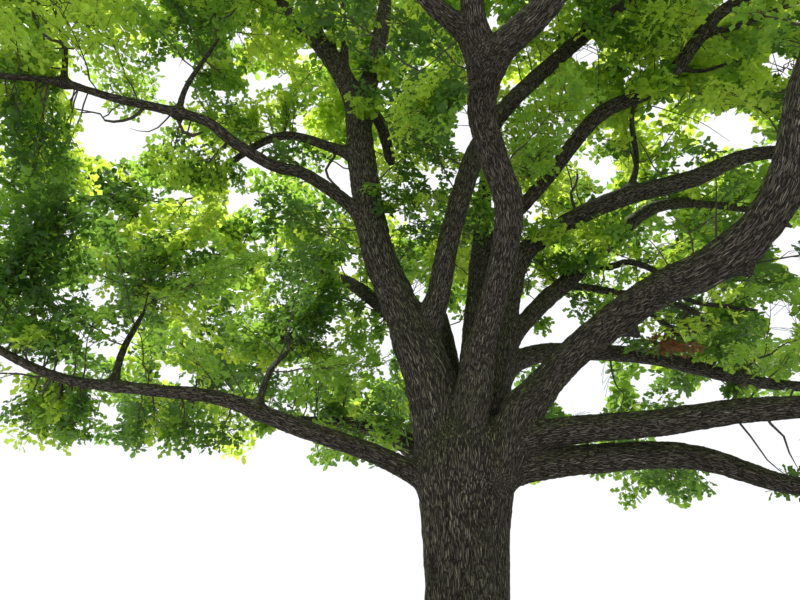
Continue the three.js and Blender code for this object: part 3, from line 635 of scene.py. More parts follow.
@dataclass
class Bough:
    """One bough, on the source's own stations.

    Args:
        name: The bough's name, as its CAD node has it.
        parent: What the bough springs from.
        route: Its stations, as x, y, z and thickness.
    """

    name: str
    parent: str
    route: tuple[Station, ...]
    bend_needs_ring: float = 0.16
    turn_step: float = 1e-4
    leg_steps: int = 10
    step: float = 0.16
    end_length: float = 0.4
    end_share: float = 0.5
    rib_drops: tuple[float, ...] = (1.9, 1.0)
    rib_swells: tuple[float, ...] = (-0.02, 0.05)
    rib_share: float = 0.62
    bare_share: float = 0.2
    bare_tip: float = 0.3
    twig_radius: float = 0.016
    lowest_tip: float = 2.4

    @property
    def zone(self) -> Zone:
        """The part of the crown that it belongs to, for a side branch that of its bough."""
        word = (self.name if self.name in BOUGHS else self.parent).split("_")[0]
        return next(zone for zone in Zone if word in zone.value)

    @cached_property
    def padded(self) -> Array:
        """The stations' places, with one more beyond each end for the curve."""
        places = np.array(self.route)[:, :3]
        return np.vstack((2 * places[0] - places[1], places, 2 * places[-1] - places[-2]))

    def at(self, share: float) -> Array:
        """The place at a share of the stations' count, as three.js counts a curve."""
        legs = len(self.route) - 1
        leg = min(int(share * legs), legs - 1)
        return leg_curve(*self.padded[leg : leg + 4], [share * legs - leg])[0]

    def direction(self, share: float) -> Array:
        """The curve's direction at a share of the stations' count."""
        low, high = max(share - self.turn_step, 0), min(share + self.turn_step, 1)
        return unit(self.at(high) - self.at(low))

    @cached_property
    def stations(self) -> tuple[Array, Array]:
        """The source's own rings: their places and radii, with a ring half way where a leg turns."""
        legs = len(self.route) - 1
        places, radii = [], []
        for i, (*place, thick) in enumerate(self.route):
            places.append(np.array(place))
            radii.append(thick / 2)
            if i < legs:
                turn = float(np.clip(self.direction(i / legs) @ self.direction((i + 1) / legs), -1, 1))
                if math.acos(turn) > self.bend_needs_ring:
                    places.append(self.at((i + 0.5) / legs))
                    radii.append((thick + self.route[i + 1][3]) / 4)
        return np.array(places), np.array(radii)

    @cached_property
    def line(self) -> Line:
        """The smooth line for the looks, which tapers on a little way into the foliage."""
        shares = np.linspace(0, 1, self.leg_steps, endpoint=False)
        route = np.array(self.route)
        legs = range(len(route) - 1)
        rows = [leg_curve(*self.padded[i : i + 4], shares) for i in legs]
        radii = [route[i, 3] / 2 + shares * (route[i + 1, 3] - route[i, 3]) / 2 for i in legs]
        tip, radius = route[-1, :3], route[-1, 3] / 2
        points = np.vstack((*rows, tip, tip + unit(tip - rows[-1][-1]) * self.end_length))
        radii = np.concatenate((*radii, [radius, radius * self.end_share]))
        if self.parent == "trunk":
            ribs = self.rib()
            points, radii = np.vstack((ribs[:, :3], points)), np.concatenate((ribs[:, 3], radii))
        arc = arc_of(points)
        at = np.linspace(0, arc[-1], max(int(arc[-1] / self.step), 4))
        return Line(on_line(at, arc, points), np.interp(at, arc, radii))

    def rib(self) -> Array:
        """The rib in which the bough's foot runs down the trunk, as places and radii."""
        foot = self.route[0]
        outward = unit(np.array(self.route[1][:2]))
        radius = foot[3] / 2 * self.rib_share
        rows = []
        for drop, swell in zip(self.rib_drops, self.rib_swells):
            height = foot[2] - drop
            middle = float(TrunkForm().radius(height, 0.0)) + swell - radius
            rows.append((*(outward * middle), height, radius))
        return np.array(rows)

    def side_sprays(self, random: Random, spacing: float) -> list["Spray"]:
        """Sprays on short side branches along the bough's outer part.

        Args:
            random: The seeded source of chance.
            spacing: How far apart the side branches are.

        Returns:
            The sprays.
        """
        line = self.line
        made = []
        arc = line.arc[-1] * self.bare_share + spacing
        while arc < line.arc[-1] - self.bare_tip:
            at = on_line(arc, line.arc, line.points)
            radius = float(np.interp(arc, line.arc, line.radii))
            tangent = line.tangents[int(np.searchsorted(line.arc, arc)) - 1]
            arc += spacing * random.uniform(0.6, 1.4)
            away = square_to(random.normal(size=3) + np.array((0, 0, 0.45)), tangent)
            direction = unit(away + tangent * random.uniform(0.2, 0.9))
            length = random.uniform(1.0, 2.3)
            tip = at + direction * (radius + length)
            low = direction[2] < -0.35 or tip[2] < self.lowest_tip
            if low or np.linalg.norm(at - FORK_MIDDLE) < FORK_REACH * 0.9:
                continue
            root = at + direction * (radius + 0.25 * length)
            flat = tilted(random, 0.6, direction)
            foot = at + direction * radius * 0.7
            made.append(Spray(foot, root, tip, flat, self.twig_radius, 0.55 * length))
        return made


def feed(tree: Tree, made: bpy.types.Node, sources: dict) -> None:
    """Gives inputs of a node, by name or number, a value or the socket that feeds them."""
    for key, value in sources.items():
        if isinstance(value, Socket):
            tree.links.new(value, made.inputs[key])
        else:
            made.inputs[key].default_value = value


def node(tree: Tree, kind: str, sources: dict | None = None, **settings: object) -> bpy.types.Node:
    """Adds a node.

    Args:
        tree: The node tree it goes into.
        kind: The node's type name.
        sources: For input names or numbers, a value or the socket that feeds it.
        **settings: The node's own settings.

    Returns:
        The new node.
    """
    made = tree.nodes.new(kind)
    for key, value in settings.items():
        setattr(made, key, value)
    feed(tree, made, sources or {})
    return made


def math_of(tree: Tree, operation: str, *values: object) -> Socket:
    """The result of a Math node."""
    return node(tree, "ShaderNodeMath", dict(enumerate(values)), operation=operation).outputs[0]


def vector_of(tree: Tree, operation: str, *values: object) -> Socket:
    """The result of a Vector Math node."""
    return node(tree, "ShaderNodeVectorMath", dict(enumerate(values)), operation=operation).outputs[0]


def noise(tree: Tree, place: Socket, scale: float, detail: float) -> bpy.types.bpy_prop_collection:
    """The value and the colour of a Noise Texture node."""
    return node(tree, "ShaderNodeTexNoise", {"Vector": place, "Scale": scale, "Detail": detail}).outputs


def range_of(tree: Tree, value: Socket, low: float, high: float, **settings: object) -> bpy.types.Node:
    """A Map Range node that takes a stretch of a value to 0 to 1."""
    return node(tree, "ShaderNodeMapRange", {"Value": value, "From Min": low, "From Max": high}, **settings)


def mix_of(tree: Tree, factor: Socket, low: object, high: object) -> Socket:
    """The mix of two colours."""
    sources = {"Factor": factor, "A": low, "B": high}
    return node(tree, "ShaderNodeMix", sources, data_type="RGBA").outputs["Result"]


def new_material(name: str) -> tuple[bpy.types.Material, Tree, bpy.types.Node]:
    """A new material, its tree and its shader."""
    made = bpy.data.materials.new(name)
    made.use_nodes = True
    return made, made.node_tree, made.node_tree.nodes["Principled BSDF"]


def furrow_pattern(tree: Tree, grain: Socket, width: object, length: object) -> Socket:
    """The bark's long winding ridges, for a geometry tree or a material.

    Args:
        tree: The node tree.
        grain: The place in the straightened limb.
        width: A ridge's width, as a number or a socket.
        length: A ridge's length, as a number or a socket.

    Returns:
        A socket that is 0 in a furrow and 1 on a ridge.
    """
    wave = noise(tree, grain, 4.0, 2.0)[1]
    swing = vector_of(tree, "MULTIPLY", vector_of(tree, "SUBTRACT", wave, (0.5, 0.5, 0.5)), (0.1, 0.1, 0.14))
    cell = node(tree, "ShaderNodeCombineXYZ", {"X": width, "Y": width, "Z": length}).outputs[0]
    spread = vector_of(tree, "DIVIDE", vector_of(tree, "ADD", grain, swing), cell)
    sources = {"Vector": spread, "Scale": 1.0, "Randomness": 1.0}
    cracks = node(tree, "ShaderNodeTexVoronoi", sources, feature="DISTANCE_TO_EDGE").outputs["Distance"]
    return range_of(tree, cracks, 0.02, 0.4, interpolation_type="SMOOTHSTEP").outputs["Result"]


@dataclass(frozen=True)
class BarkFinish:
    """Deeply furrowed grey-brown bark with green moss on what faces up. Its near-black furrows are the bark's
    own darker tone deepened by painted shade, and its light ridges carry painted light.
    """

    # Furrow colour: the bark's own dark tone plus painted shade in the fissures; ridge colour: crest tone
    # raised by painted light.
    furrow: tuple = (0.012, 0.009, 0.007, 1)
    ridge: tuple = (0.46, 0.4, 0.33, 1)
    moss: tuple = (0.3, 0.35, 0.13, 1)
    ridge_width: float = 0.026
    ridge_length: float = 0.36
    fissure_width: float = 0.07
    fissure_length: float = 0.55
    fissure_share: float = 0.55
    moss_spread: float = 0.3
    roughness: float = 0.92
    bump_height: float = 0.018

    def material(self) -> bpy.types.Material:
        """Builds the bark's material."""
        made, tree, shader = new_material("furrowed bark")
        grain = node(tree, "ShaderNodeAttribute", attribute_name="grain").outputs["Vector"]
        fine = furrow_pattern(tree, grain, self.ridge_width, self.ridge_length)
        wide = furrow_pattern(tree, grain, self.fissure_width, self.fissure_length)
        wide = math_of(tree, "MULTIPLY_ADD", wide, self.fissure_share, 1 - self.fissure_share)
        ridges = math_of(tree, "MULTIPLY", fine, wide)
        speckle = noise(tree, grain, 55.0, 5.0)[0]
        patches = noise(tree, grain, 2.6, 4.0)[0]
        shade = range_of(tree, speckle, 0.3, 0.7)
        feed(tree, shade, {"To Min": 0.5})
        # Crest share: 1 on the ridges with painted light, 0 in the furrows with painted shade, speckled at
        # random.
        crest_tone_light_and_shade = math_of(tree, "MULTIPLY", ridges, shade.outputs[0])
        normal = node(tree, "ShaderNodeNewGeometry").outputs["Normal"]
        facing = node(tree, "ShaderNodeSeparateXYZ", {0: normal})
        upward = math_of(tree, "ADD", facing.outputs["Z"], self.moss_spread)
        mossy = range_of(tree, math_of(tree, "MULTIPLY", upward, patches), 0.04, 0.36)
        feed(tree, mossy, {"To Max": 0.95})
        # The mix paints shade into the furrows and light onto the crests, with moss on what faces up.
        colour = mix_of(tree, crest_tone_light_and_shade, self.furrow, mix_of(tree, mossy.outputs[0], self.ridge, self.moss))
        height = math_of(tree, "MULTIPLY_ADD", speckle, 0.35, ridges)
        bump = node(tree, "ShaderNodeBump", {"Height": height, "Distance": self.bump_height, "Strength": 0.9})
        finish = {"Base Color": colour, "Normal": bump.outputs[0], "Specular IOR Level": 0.25}
        feed(tree, shader, finish | {"Roughness": self.roughness})
        return made


@dataclass(frozen=True)
class TwigFinish:
    """Smooth young bark of twigs."""

    dark: tuple = (0.03, 0.024, 0.018, 1)
    light: tuple = (0.09, 0.075, 0.05, 1)

    def material(self) -> bpy.types.Material:
        """Builds the twigs' material."""
        made, tree, shader = new_material("young twig bark")
        mottle = noise(tree, node(tree, "ShaderNodeTexCoord").outputs["Object"], 9.0, 3.0)[0]
        feed(tree, shader, {"Base Color": mix_of(tree, mottle, self.dark, self.light), "Roughness": 0.8})
        return made


@dataclass(frozen=True)
class LeafFinish:
    """A thin leaf, lit from above and through.

    Args:
        name: The tint's name.
        face: The colour that the leaf throws back.
        through: The colour of the light that comes through it.
    """

    name: str
    face: tuple
    through: tuple
    through_share: float = 0.5

    def material(self) -> bpy.types.Material:
        """Builds the leaf's material."""
        made, tree, shader = new_material(f"{self.name} leaf")
        feed(tree, shader, {"Base Color": self.face, "Roughness": 0.42, "Specular IOR Level": 0.4})
        glow = node(tree, "ShaderNodeBsdfTranslucent", {"Color": self.through}).outputs[0]
        mix = node(tree, "ShaderNodeMixShader", {0: self.through_share, 1: shader.outputs[0], 2: glow})
        feed(tree, tree.nodes["Material Output"], {"Surface": mix.outputs[0]})
        return made


def named(tree: Tree, name: str, kind: str) -> Socket:
    """A named attribute of the mesh."""
    made = node(tree, "GeometryNodeInputNamedAttribute", {"Name": name}, data_type=kind)
    return made.outputs["Attribute"]


def new_geometry_tree(name: str, inputs: dict[str, str]) -> tuple[Tree, bpy.types.bpy_prop_collection]:
    """A new geometry tree.

    Args:
        name: The tree's name.
        inputs: The names and kinds of its inputs, apart from the geometry and the material.

    Returns:
        The tree and the sockets of its inputs.
    """
    tree = bpy.data.node_groups.new(name, "GeometryNodeTree")
    for label, kind in (("Geometry", "Geometry"), *inputs.items(), ("Material", "Material")):
        tree.interface.new_socket(label, in_out="INPUT", socket_type=f"NodeSocket{kind}")
    tree.interface.new_socket("Geometry", in_out="OUTPUT", socket_type="NodeSocketGeometry")
    return tree, node(tree, "NodeGroupInput").outputs


def end_geometry_tree(tree: Tree, shape: Socket, material: Socket) -> None:
    """Ends a geometry tree with its instances made real and dressed."""
    whole = node(tree, "GeometryNodeRealizeInstances", {0: shape}).outputs[0]
    dressed = node(tree, "GeometryNodeSetMaterial", {"Geometry": whole, "Material": material})
    node(tree, "NodeGroupOutput", {0: dressed.outputs[0]})


def run_geometry_tree(piece: bpy.types.Object, tree: Tree, values: dict[str, object]) -> None:
    """Runs a geometry tree on a piece, with values for its named inputs, and leaves a plain mesh."""
    modifier = piece.modifiers.new(tree.name, "NODES")
    modifier.node_group = tree
    for socket in tree.interface.items_tree:
        if socket.in_out == "INPUT" and socket.name in values:
            modifier[socket.identifier] = values[socket.name]
    piece.data = plain_mesh(piece)


def scaled(tree: Tree, vector: Socket, by: Socket) -> Socket:
    """A vector times a number."""
    return node(tree, "ShaderNodeVectorMath", {0: vector, "Scale": by}, operation="SCALE").outputs[0]


class Tint(Enum):
    """The three greens of the leaves, lit and shaded copies of one green where the bright tint is painted
    light and the deep tint painted shade, and the brown of a few dead ones.
    """

    # BRIGHT stands for leaves in light and DEEP for leaves in shade: painted light and painted shade.
    BRIGHT = LeafFinish("bright", (0.22, 0.37, 0.035, 1), (0.72, 0.9, 0.09, 1))
    MIDDLE = LeafFinish("middle", (0.11, 0.24, 0.025, 1), (0.42, 0.66, 0.07, 1))
    DEEP = LeafFinish("deep", (0.045, 0.12, 0.018, 1), (0.17, 0.32, 0.04, 1))
    BROWN = LeafFinish("brown", (0.17, 0.06, 0.03, 1), (0.32, 0.11, 0.05, 1))


def linked(name: str, data: bpy.types.ID) -> Piece:
    """A new object for some data, linked to the scene."""
    made = bpy.data.objects.new(name, data)
    bpy.context.scene.collection.objects.link(made)
    return made


def mesh_object(name: str, corners: Array, faces: Iterable) -> Piece:
    """A new object with its place in its mesh.

    Args:
        name: The object's name.
        corners: Rows of x, y and z.
        faces: Corner numbers of each face, as lists or as rows of equal length.

    Returns:
        The new object.
    """
    mesh = bpy.data.meshes.new(name)
    if isinstance(faces, np.ndarray):
        mesh.vertices.add(len(corners))
        mesh.vertices.foreach_set("co", np.asarray(corners, dtype=np.float32).ravel())
        mesh.loops.add(faces.size)
        mesh.loops.foreach_set("vertex_index", faces.astype(np.int32).ravel())
        mesh.polygons.add(len(faces))
        mesh.polygons.foreach_set("loop_start", np.arange(0, faces.size, faces.shape[1], dtype=np.int32))
        mesh.update(calc_edges=True)
    else:
        mesh.from_pydata(np.asarray(corners).tolist(), [], list(faces))
    return linked(name, mesh)


def plain_mesh(source: Piece) -> bpy.types.Mesh:
    """The mesh that an object's modifiers give, with the modifiers then removed."""
    evaluated = source.evaluated_get(bpy.context.evaluated_depsgraph_get())
    mesh = bpy.data.meshes.new_from_object(evaluated)
    source.modifiers.clear()
    return mesh


def joined(parts: list[tuple[Array, list]]) -> tuple[Array, list]:
    """Corners and faces of several meshes as one."""
    corners, faces, count = [], [], 0
    for part_corners, part_faces in parts:
        corners.append(part_corners)
        faces += [[corner + count for corner in face] for face in part_faces]
        count += len(part_corners)
    return np.vstack(corners), faces


def triangles(faces: list[list[int]]) -> Array:
    """Faces of any number of corners as rows of three."""
    rows = [(face[0], face[k], face[k + 1]) for face in faces for k in range(1, len(face) - 1)]
    return np.array(rows, dtype=np.int32)


@dataclass
class BarkRelief:
    """Raises the bark's ridges on a mesh with the attributes grain and depth, by Geometry Nodes."""

    finish: BarkFinish
    lump_size: float = 0.55
    lump_height: float = 1.6
    sunk: float = 0.55

    @cached_property
    def tree(self) -> Tree:
        """The node tree, with its sizes as named inputs."""
        sizes = ("Ridge width", "Ridge length", "Lump size", "Lump height")
        tree, given = new_geometry_tree("bark relief", dict.fromkeys(sizes, "Float"))
        grain, depth = named(tree, "grain", "FLOAT_VECTOR"), named(tree, "depth", "FLOAT")
        ridges = furrow_pattern(tree, grain, given["Ridge width"], given["Ridge length"])
        finer = scaled(tree, grain, math_of(tree, "DIVIDE", 1.0, given["Lump size"]))
        swell = math_of(tree, "SUBTRACT", noise(tree, finer, 1.0, 2.0)[0], 0.5)
        swollen = math_of(tree, "MULTIPLY", swell, given["Lump height"])
        total = math_of(tree, "ADD", math_of(tree, "SUBTRACT", ridges, self.sunk), swollen)
        normal = node(tree, "GeometryNodeInputNormal").outputs[0]
        offset = scaled(tree, normal, math_of(tree, "MULTIPLY", total, depth))
        moved = node(tree, "GeometryNodeSetPosition", {"Geometry": given["Geometry"], "Offset": offset})
        end_geometry_tree(tree, moved.outputs[0], given["Material"])
        return tree

    def apply(self, piece: Piece, material: bpy.types.Material) -> None:
        """Gives a piece the relief and the material, as a plain mesh."""
        values = {
            "Ridge width": self.finish.fissure_width,
            "Ridge length": self.finish.fissure_length,
            "Lump size": self.lump_size,
            "Lump height": self.lump_height,
            "Material": material,
        }
        run_geometry_tree(piece, self.tree, values)
        piece.data.shade_smooth()


@dataclass
class Skin:
    """The wood's skin: trunk and limbs flow into each other as one closed form, with bark on it.

    Args:
        forms: The trunk and the lines of the limbs.
        voxel: How far apart the skin's corners are.
        blend: How softly the forms flow into each other.
    """

    forms: list
    voxel: float
    blend: float = 0.055
    trunk_sides: int = 40
    limb_sides: int = 14
    rounds: int = 4
    pull_limit: float = 0.3
    flattest: float = 0.3
    settled: float = 0.002
    crotch: float = 0.12
    crotch_depth: float = 0.35
    least_depth: float = 0.005
    depth_share: float = 0.045

    def measure(self, places: Array) -> dict[str, Array]:
        """How places lie to the wood.

        Args:
            places: Rows of x, y and z.

        Returns:
            The distance, its normal, the grain, radius and number of the nearest form, and the
            lead that this form has over the next one.
        """
        count = len(places)
        total, normal = np.zeros(count), np.zeros((count, 3))
        grain, radius, form_number = np.zeros((count, 3)), np.ones(count), np.zeros(count, dtype=int)
        nearest, second = np.full(count, FAR), np.full(count, FAR)
        for number, form in enumerate(self.forms):
            distance, outward, place, thick = form.measure(places)
            rows = np.flatnonzero(distance < FAR)
            distance = distance[rows]
            weight = np.exp(-np.clip(distance, -1, 3) / self.blend)
            total[rows] += weight
            normal[rows] += weight[:, None] * outward[rows]
            leads = distance < nearest[rows]
            second[rows] = np.where(leads, nearest[rows], np.minimum(second[rows], distance))
            won = rows[leads]
            nearest[won], form_number[won] = distance[leads], number
            grain[won], radius[won] = place[won], thick[won]
        total = np.maximum(total, 1e-30)
        return {
            "distance": -self.blend * np.log(total),
            "normal": normal / total[:, None],
            "grain": grain,
            "radius": radius,
            "form": form_number,
            "lead": second - nearest,
        }

    def raw(self) -> Piece:
        """The forms as closed tubes, remeshed to one even skin."""
        trunk, *limbs = self.forms
        tubes = [tube(limb.points, limb.radii, self.limb_sides) for limb in limbs]
        piece = mesh_object("wood", *joined([trunk.rings(self.trunk_sides), *tubes]))
        remesh = piece.modifiers.new("skin", "REMESH")
        remesh.mode = "VOXEL"
        remesh.voxel_size = self.voxel
        piece.data = plain_mesh(piece)
        return piece

    def build(self) -> tuple[Piece, Array]:
        """Draws the skin onto the flowing form and stores its grain and depth.

        Returns:
            The skin, and for each corner the number of its nearest form.
        """
        piece = self.raw()
        mesh = piece.data
        LOG.info("wood skin: %d corners", len(mesh.vertices))
        places = read(mesh.vertices, "co", 3, np.float32).astype(float)
        edges = read(mesh.edges, "vertices", 2)
        active = np.arange(len(places))
        whole = {}
        for turn in range(self.rounds):
            found = self.measure(places[active])
            for key, values in found.items():
                whole.setdefault(key, values)[active] = values
            length = np.maximum((found["normal"] ** 2).sum(1), self.flattest)
            step = np.where(np.abs(found["distance"]) > self.pull_limit, 0, found["distance"] / length)
            places[active] -= step[:, None] * found["normal"]
            if turn == 0:
                active = np.flatnonzero((np.abs(step) > self.settled) | (found["lead"] < self.crotch))
            if turn < self.rounds - 2:
                places[active] = relaxed(places, edges)[active]
        mesh.vertices.foreach_set("co", places.astype(np.float32).ravel())
        depth = self.least_depth + self.depth_share * np.minimum(whole["radius"], 0.5)
        depth *= np.clip(self.crotch_depth + whole["lead"] / self.crotch, self.crotch_depth, 1)
        store(mesh, "grain", whole["grain"])
        store(mesh, "depth", depth)
        mesh.update()
        return piece, whole["form"]


def read(items: bpy.types.bpy_prop_collection, key: str, width: int = 1, kind: type = np.int32) -> Array:
    """Reads a mesh's numbers, as rows where there are several for each item."""
    values = np.empty(len(items) * width, dtype=kind)
    items.foreach_get(key, values)
    return values if width == 1 else values.reshape(-1, width)


def store(mesh: bpy.types.Mesh, name: str, values: Array) -> None:
    """Stores an attribute at the corners of a mesh: rows of three, numbers or whole numbers."""
    if values.ndim == 2:
        kind, key, number = "FLOAT_VECTOR", "vector", np.float32
    else:
        whole = np.issubdtype(values.dtype, np.integer)
        kind, key, number = ("INT", "value", np.int32) if whole else ("FLOAT", "value", np.float32)
    mesh.attributes.new(name, kind, "POINT").data.foreach_set(key, values.astype(number).ravel())


def relaxed(places: Array, edges: Array) -> Array:
    """The places moved half way to the middle of their neighbours."""
    count = np.bincount(edges.ravel(), minlength=len(places))
    total = np.zeros_like(places)
    for k in range(3):
        total[:, k] = np.bincount(edges[:, 0], places[edges[:, 1], k], len(places))
        total[:, k] += np.bincount(edges[:, 1], places[edges[:, 0], k], len(places))
    return 0.5 * places + 0.5 * total / np.maximum(count, 1)[:, None]


def cut_out(source: Piece, name: str, faces: Array) -> Piece:
    """Some faces of a mesh of four-cornered faces as an object of their own.

    Args:
        source: The whole mesh's object.
        name: The new object's name.
        faces: The numbers of the faces.

    Returns:
        The new object, shaded as the whole mesh is.
    """
    mesh = source.data
    corners, starts = read(mesh.loops, "vertex_index"), read(mesh.polygons, "loop_start")
    four = faces[read(mesh.polygons, "loop_total")[faces] == 4]
    kept, numbers = np.unique(corners[starts[four][:, None] + np.arange(4)], return_inverse=True)
    part = mesh_object(name, read(mesh.vertices, "co", 3, np.float32)[kept], numbers.reshape(-1, 4))
    store(part.data, "grain", read(mesh.attributes["grain"].data, "vector", 3, np.float32)[kept])
    store(part.data, "depth", read(mesh.attributes["depth"].data, "value", 1, np.float32)[kept])
    part.data.shade_smooth()
    normals = read(mesh.vertex_normals, "vector", 3, np.float32)[kept]
    part.data.normals_split_custom_set_from_vertices(normals.tolist())
    for material in mesh.materials:
        part.data.materials.append(material)
    return part


@dataclass(frozen=True)
class Window:
    """A place in the photograph, in its pixels: its middle and its half width and height."""

    across: float
    down: float
    half_width: float
    half_height: float

    def holds(self, across: Array, down: Array) -> Array:
        """True for each pixel place inside the window's oval."""
        sideways = (across - self.across) / self.half_width
        return sideways**2 + ((down - self.down) / self.half_height) ** 2 < 1


@dataclass(frozen=True)
class Spot(Window):
    """A window that sprays of leaves fill: the bough that carries them, and how many there are."""

    bough: str
    sprays: int


# Where the photograph shows sky between the leaves.
SKY_GAPS: dict[str, Window] = {name: Window(*place) for name, place in {
    "above the left upper bough": (110, 137, 36, 27),
    "at the left bough's hook": (174, 74, 20, 22),
    "under the top left leaves": (237, 40, 14, 11),
    "left of the leader's fork": (280, 80, 12, 7),
    "between leader and winding bough": (463, 128, 12, 26),
    "in the leaders' crotch": (417, 290, 14, 12),
    "top right": (586, 55, 17, 16),
    "over the right upper bough": (605, 170, 17, 17),
    "right of the upper bough": (730, 129, 29, 22),
    "right corner": (780, 65, 22, 16),
    "under the great bough": (583, 390, 32, 34),
    "between the two level boughs": (742, 455, 52, 14),
    "under the low bough": (540, 508, 28, 28),
    "over the middle bough": (566, 326, 10, 8),
    "right of the great bough": (785, 250, 14, 22),
    "under the great bough's burl": (780, 320, 20, 22),
}.items()}

# Where the photograph shows leaves behind the wood.
FILLED_SPOTS: dict[str, Spot] = {name: Spot(*place) for name, place in {
    "left edge, high": (34, 178, 40, 28, "left_upper_bough", 6),
    "left edge, middle": (42, 238, 56, 40, "left_low_bough", 8),
    "left edge, low": (52, 318, 60, 34, "left_low_bough", 14),
    "left edge, top": (28, 74, 38, 20, "left_upper_outer_branch", 6),
    "under the left bough's end": (46, 418, 62, 28, "left_low_bough", 14),
    "over the left upper bough": (226, 78, 26, 20, "left_upper_inner_branch", 5),
    "under the left bough": (180, 432, 70, 20, "left_low_bough", 7),
    "over the left rear limb": (282, 112, 26, 18, "left_rear_limb", 4),
    "behind the left leader": (362, 326, 34, 26, "rear_left_bough", 7),
    "behind the winding bough": (520, 326, 34, 16, "right_rear_bough", 4),
    "left edge, over the bough": (24, 112, 30, 22, "left_upper_bough", 5),
    "under the left upper bough": (182, 168, 26, 22, "left_upper_bough", 5),
    "between the left branches": (246, 122, 40, 18, "left_rear_limb", 7),
    "over the left low bough": (300, 374, 66, 22, "rear_left_low_bough", 9),
    "under the left bough's middle": (268, 422, 40, 14, "rear_left_low_bough", 4),
    "over the great bough's foot": (575, 300, 42, 26, "right_rear_bough", 8),
    "right of the winding bough": (540, 262, 30, 24, "right_rear_bough", 5),
    "over the level bough": (704, 380, 54, 14, "right_middle_bough", 6),
}.items()}

# Where the photograph shows leaves in front of the wood.
LEAFY_SPOTS: dict[str, Spot] = {name: Spot(*place) for name, place in {
    "on the left leader": (392, 196, 46, 30, "left_leader", 5),
    "left of the leader": (218, 182, 32, 24, "left_rear_limb", 9),
    "on the leader's right fork": (382, 62, 22, 14, "left_leader", 4),
    "at the leader's crotch": (374, 100, 26, 16, "left_leader", 4),
    "on the leader's left fork": (330, 22, 40, 17, "left_leader_fork", 4),
    "left of the winding bough": (425, 95, 34, 40, "winding_bough_left_fork", 6),
    "right of the winding bough": (535, 175, 22, 40, "high_right_limb", 5),
    "on the high limb's elbow": (652, 84, 20, 20, "high_right_limb", 5),
    "on the inner leader's end": (590, 24, 22, 12, "inner_leader", 3),
    "on the right upper bough": (546, 232, 22, 12, "right_upper_bough", 4),
    "before the right rear bough": (608, 232, 20, 16, "right_upper_bough", 4),
    "under the right upper bough": (575, 262, 34, 16, "right_rear_bough", 4),
    "on the middle bough": (655, 338, 34, 14, "right_middle_bough", 4),
    "over the middle bough": (712, 346, 44, 18, "right_middle_bough", 5),
    "behind the left low bough": (360, 425, 50, 24, "rear_left_low_bough", 7),
    "under the right low bough": (655, 488, 44, 14, "rear_right_low_bough", 4),
    "top left": (50, 20, 90, 60, "left_upper_outer_branch", 5),
    "top right": (770, 70, 32, 20, "high_right_limb", 5),
}.items()}

# Where sprays close the crown above the picture: the bough, the middle, half the spread, and
# how many sprays there are.
CLOSING_SPRAYS: tuple[tuple[str, Place, float, int], ...] = (
    ("inner_leader", (4.2, -2.4, 13.8), 1.6, 7),
    ("high_right_limb", (4.6, -3.0, 13.0), 1.5, 4),
    ("winding_bough_middle_fork", (2.8, -4.4, 13.6), 1.4, 7),
    ("great_right_bough", (4.4, -5.2, 12.0), 1.2, 4),
)

# Where a few dead leaves hang, in front of the rest.
DEAD_SPOT = Spot(664, 344, 18, 12, "right_middle_bough", 2)


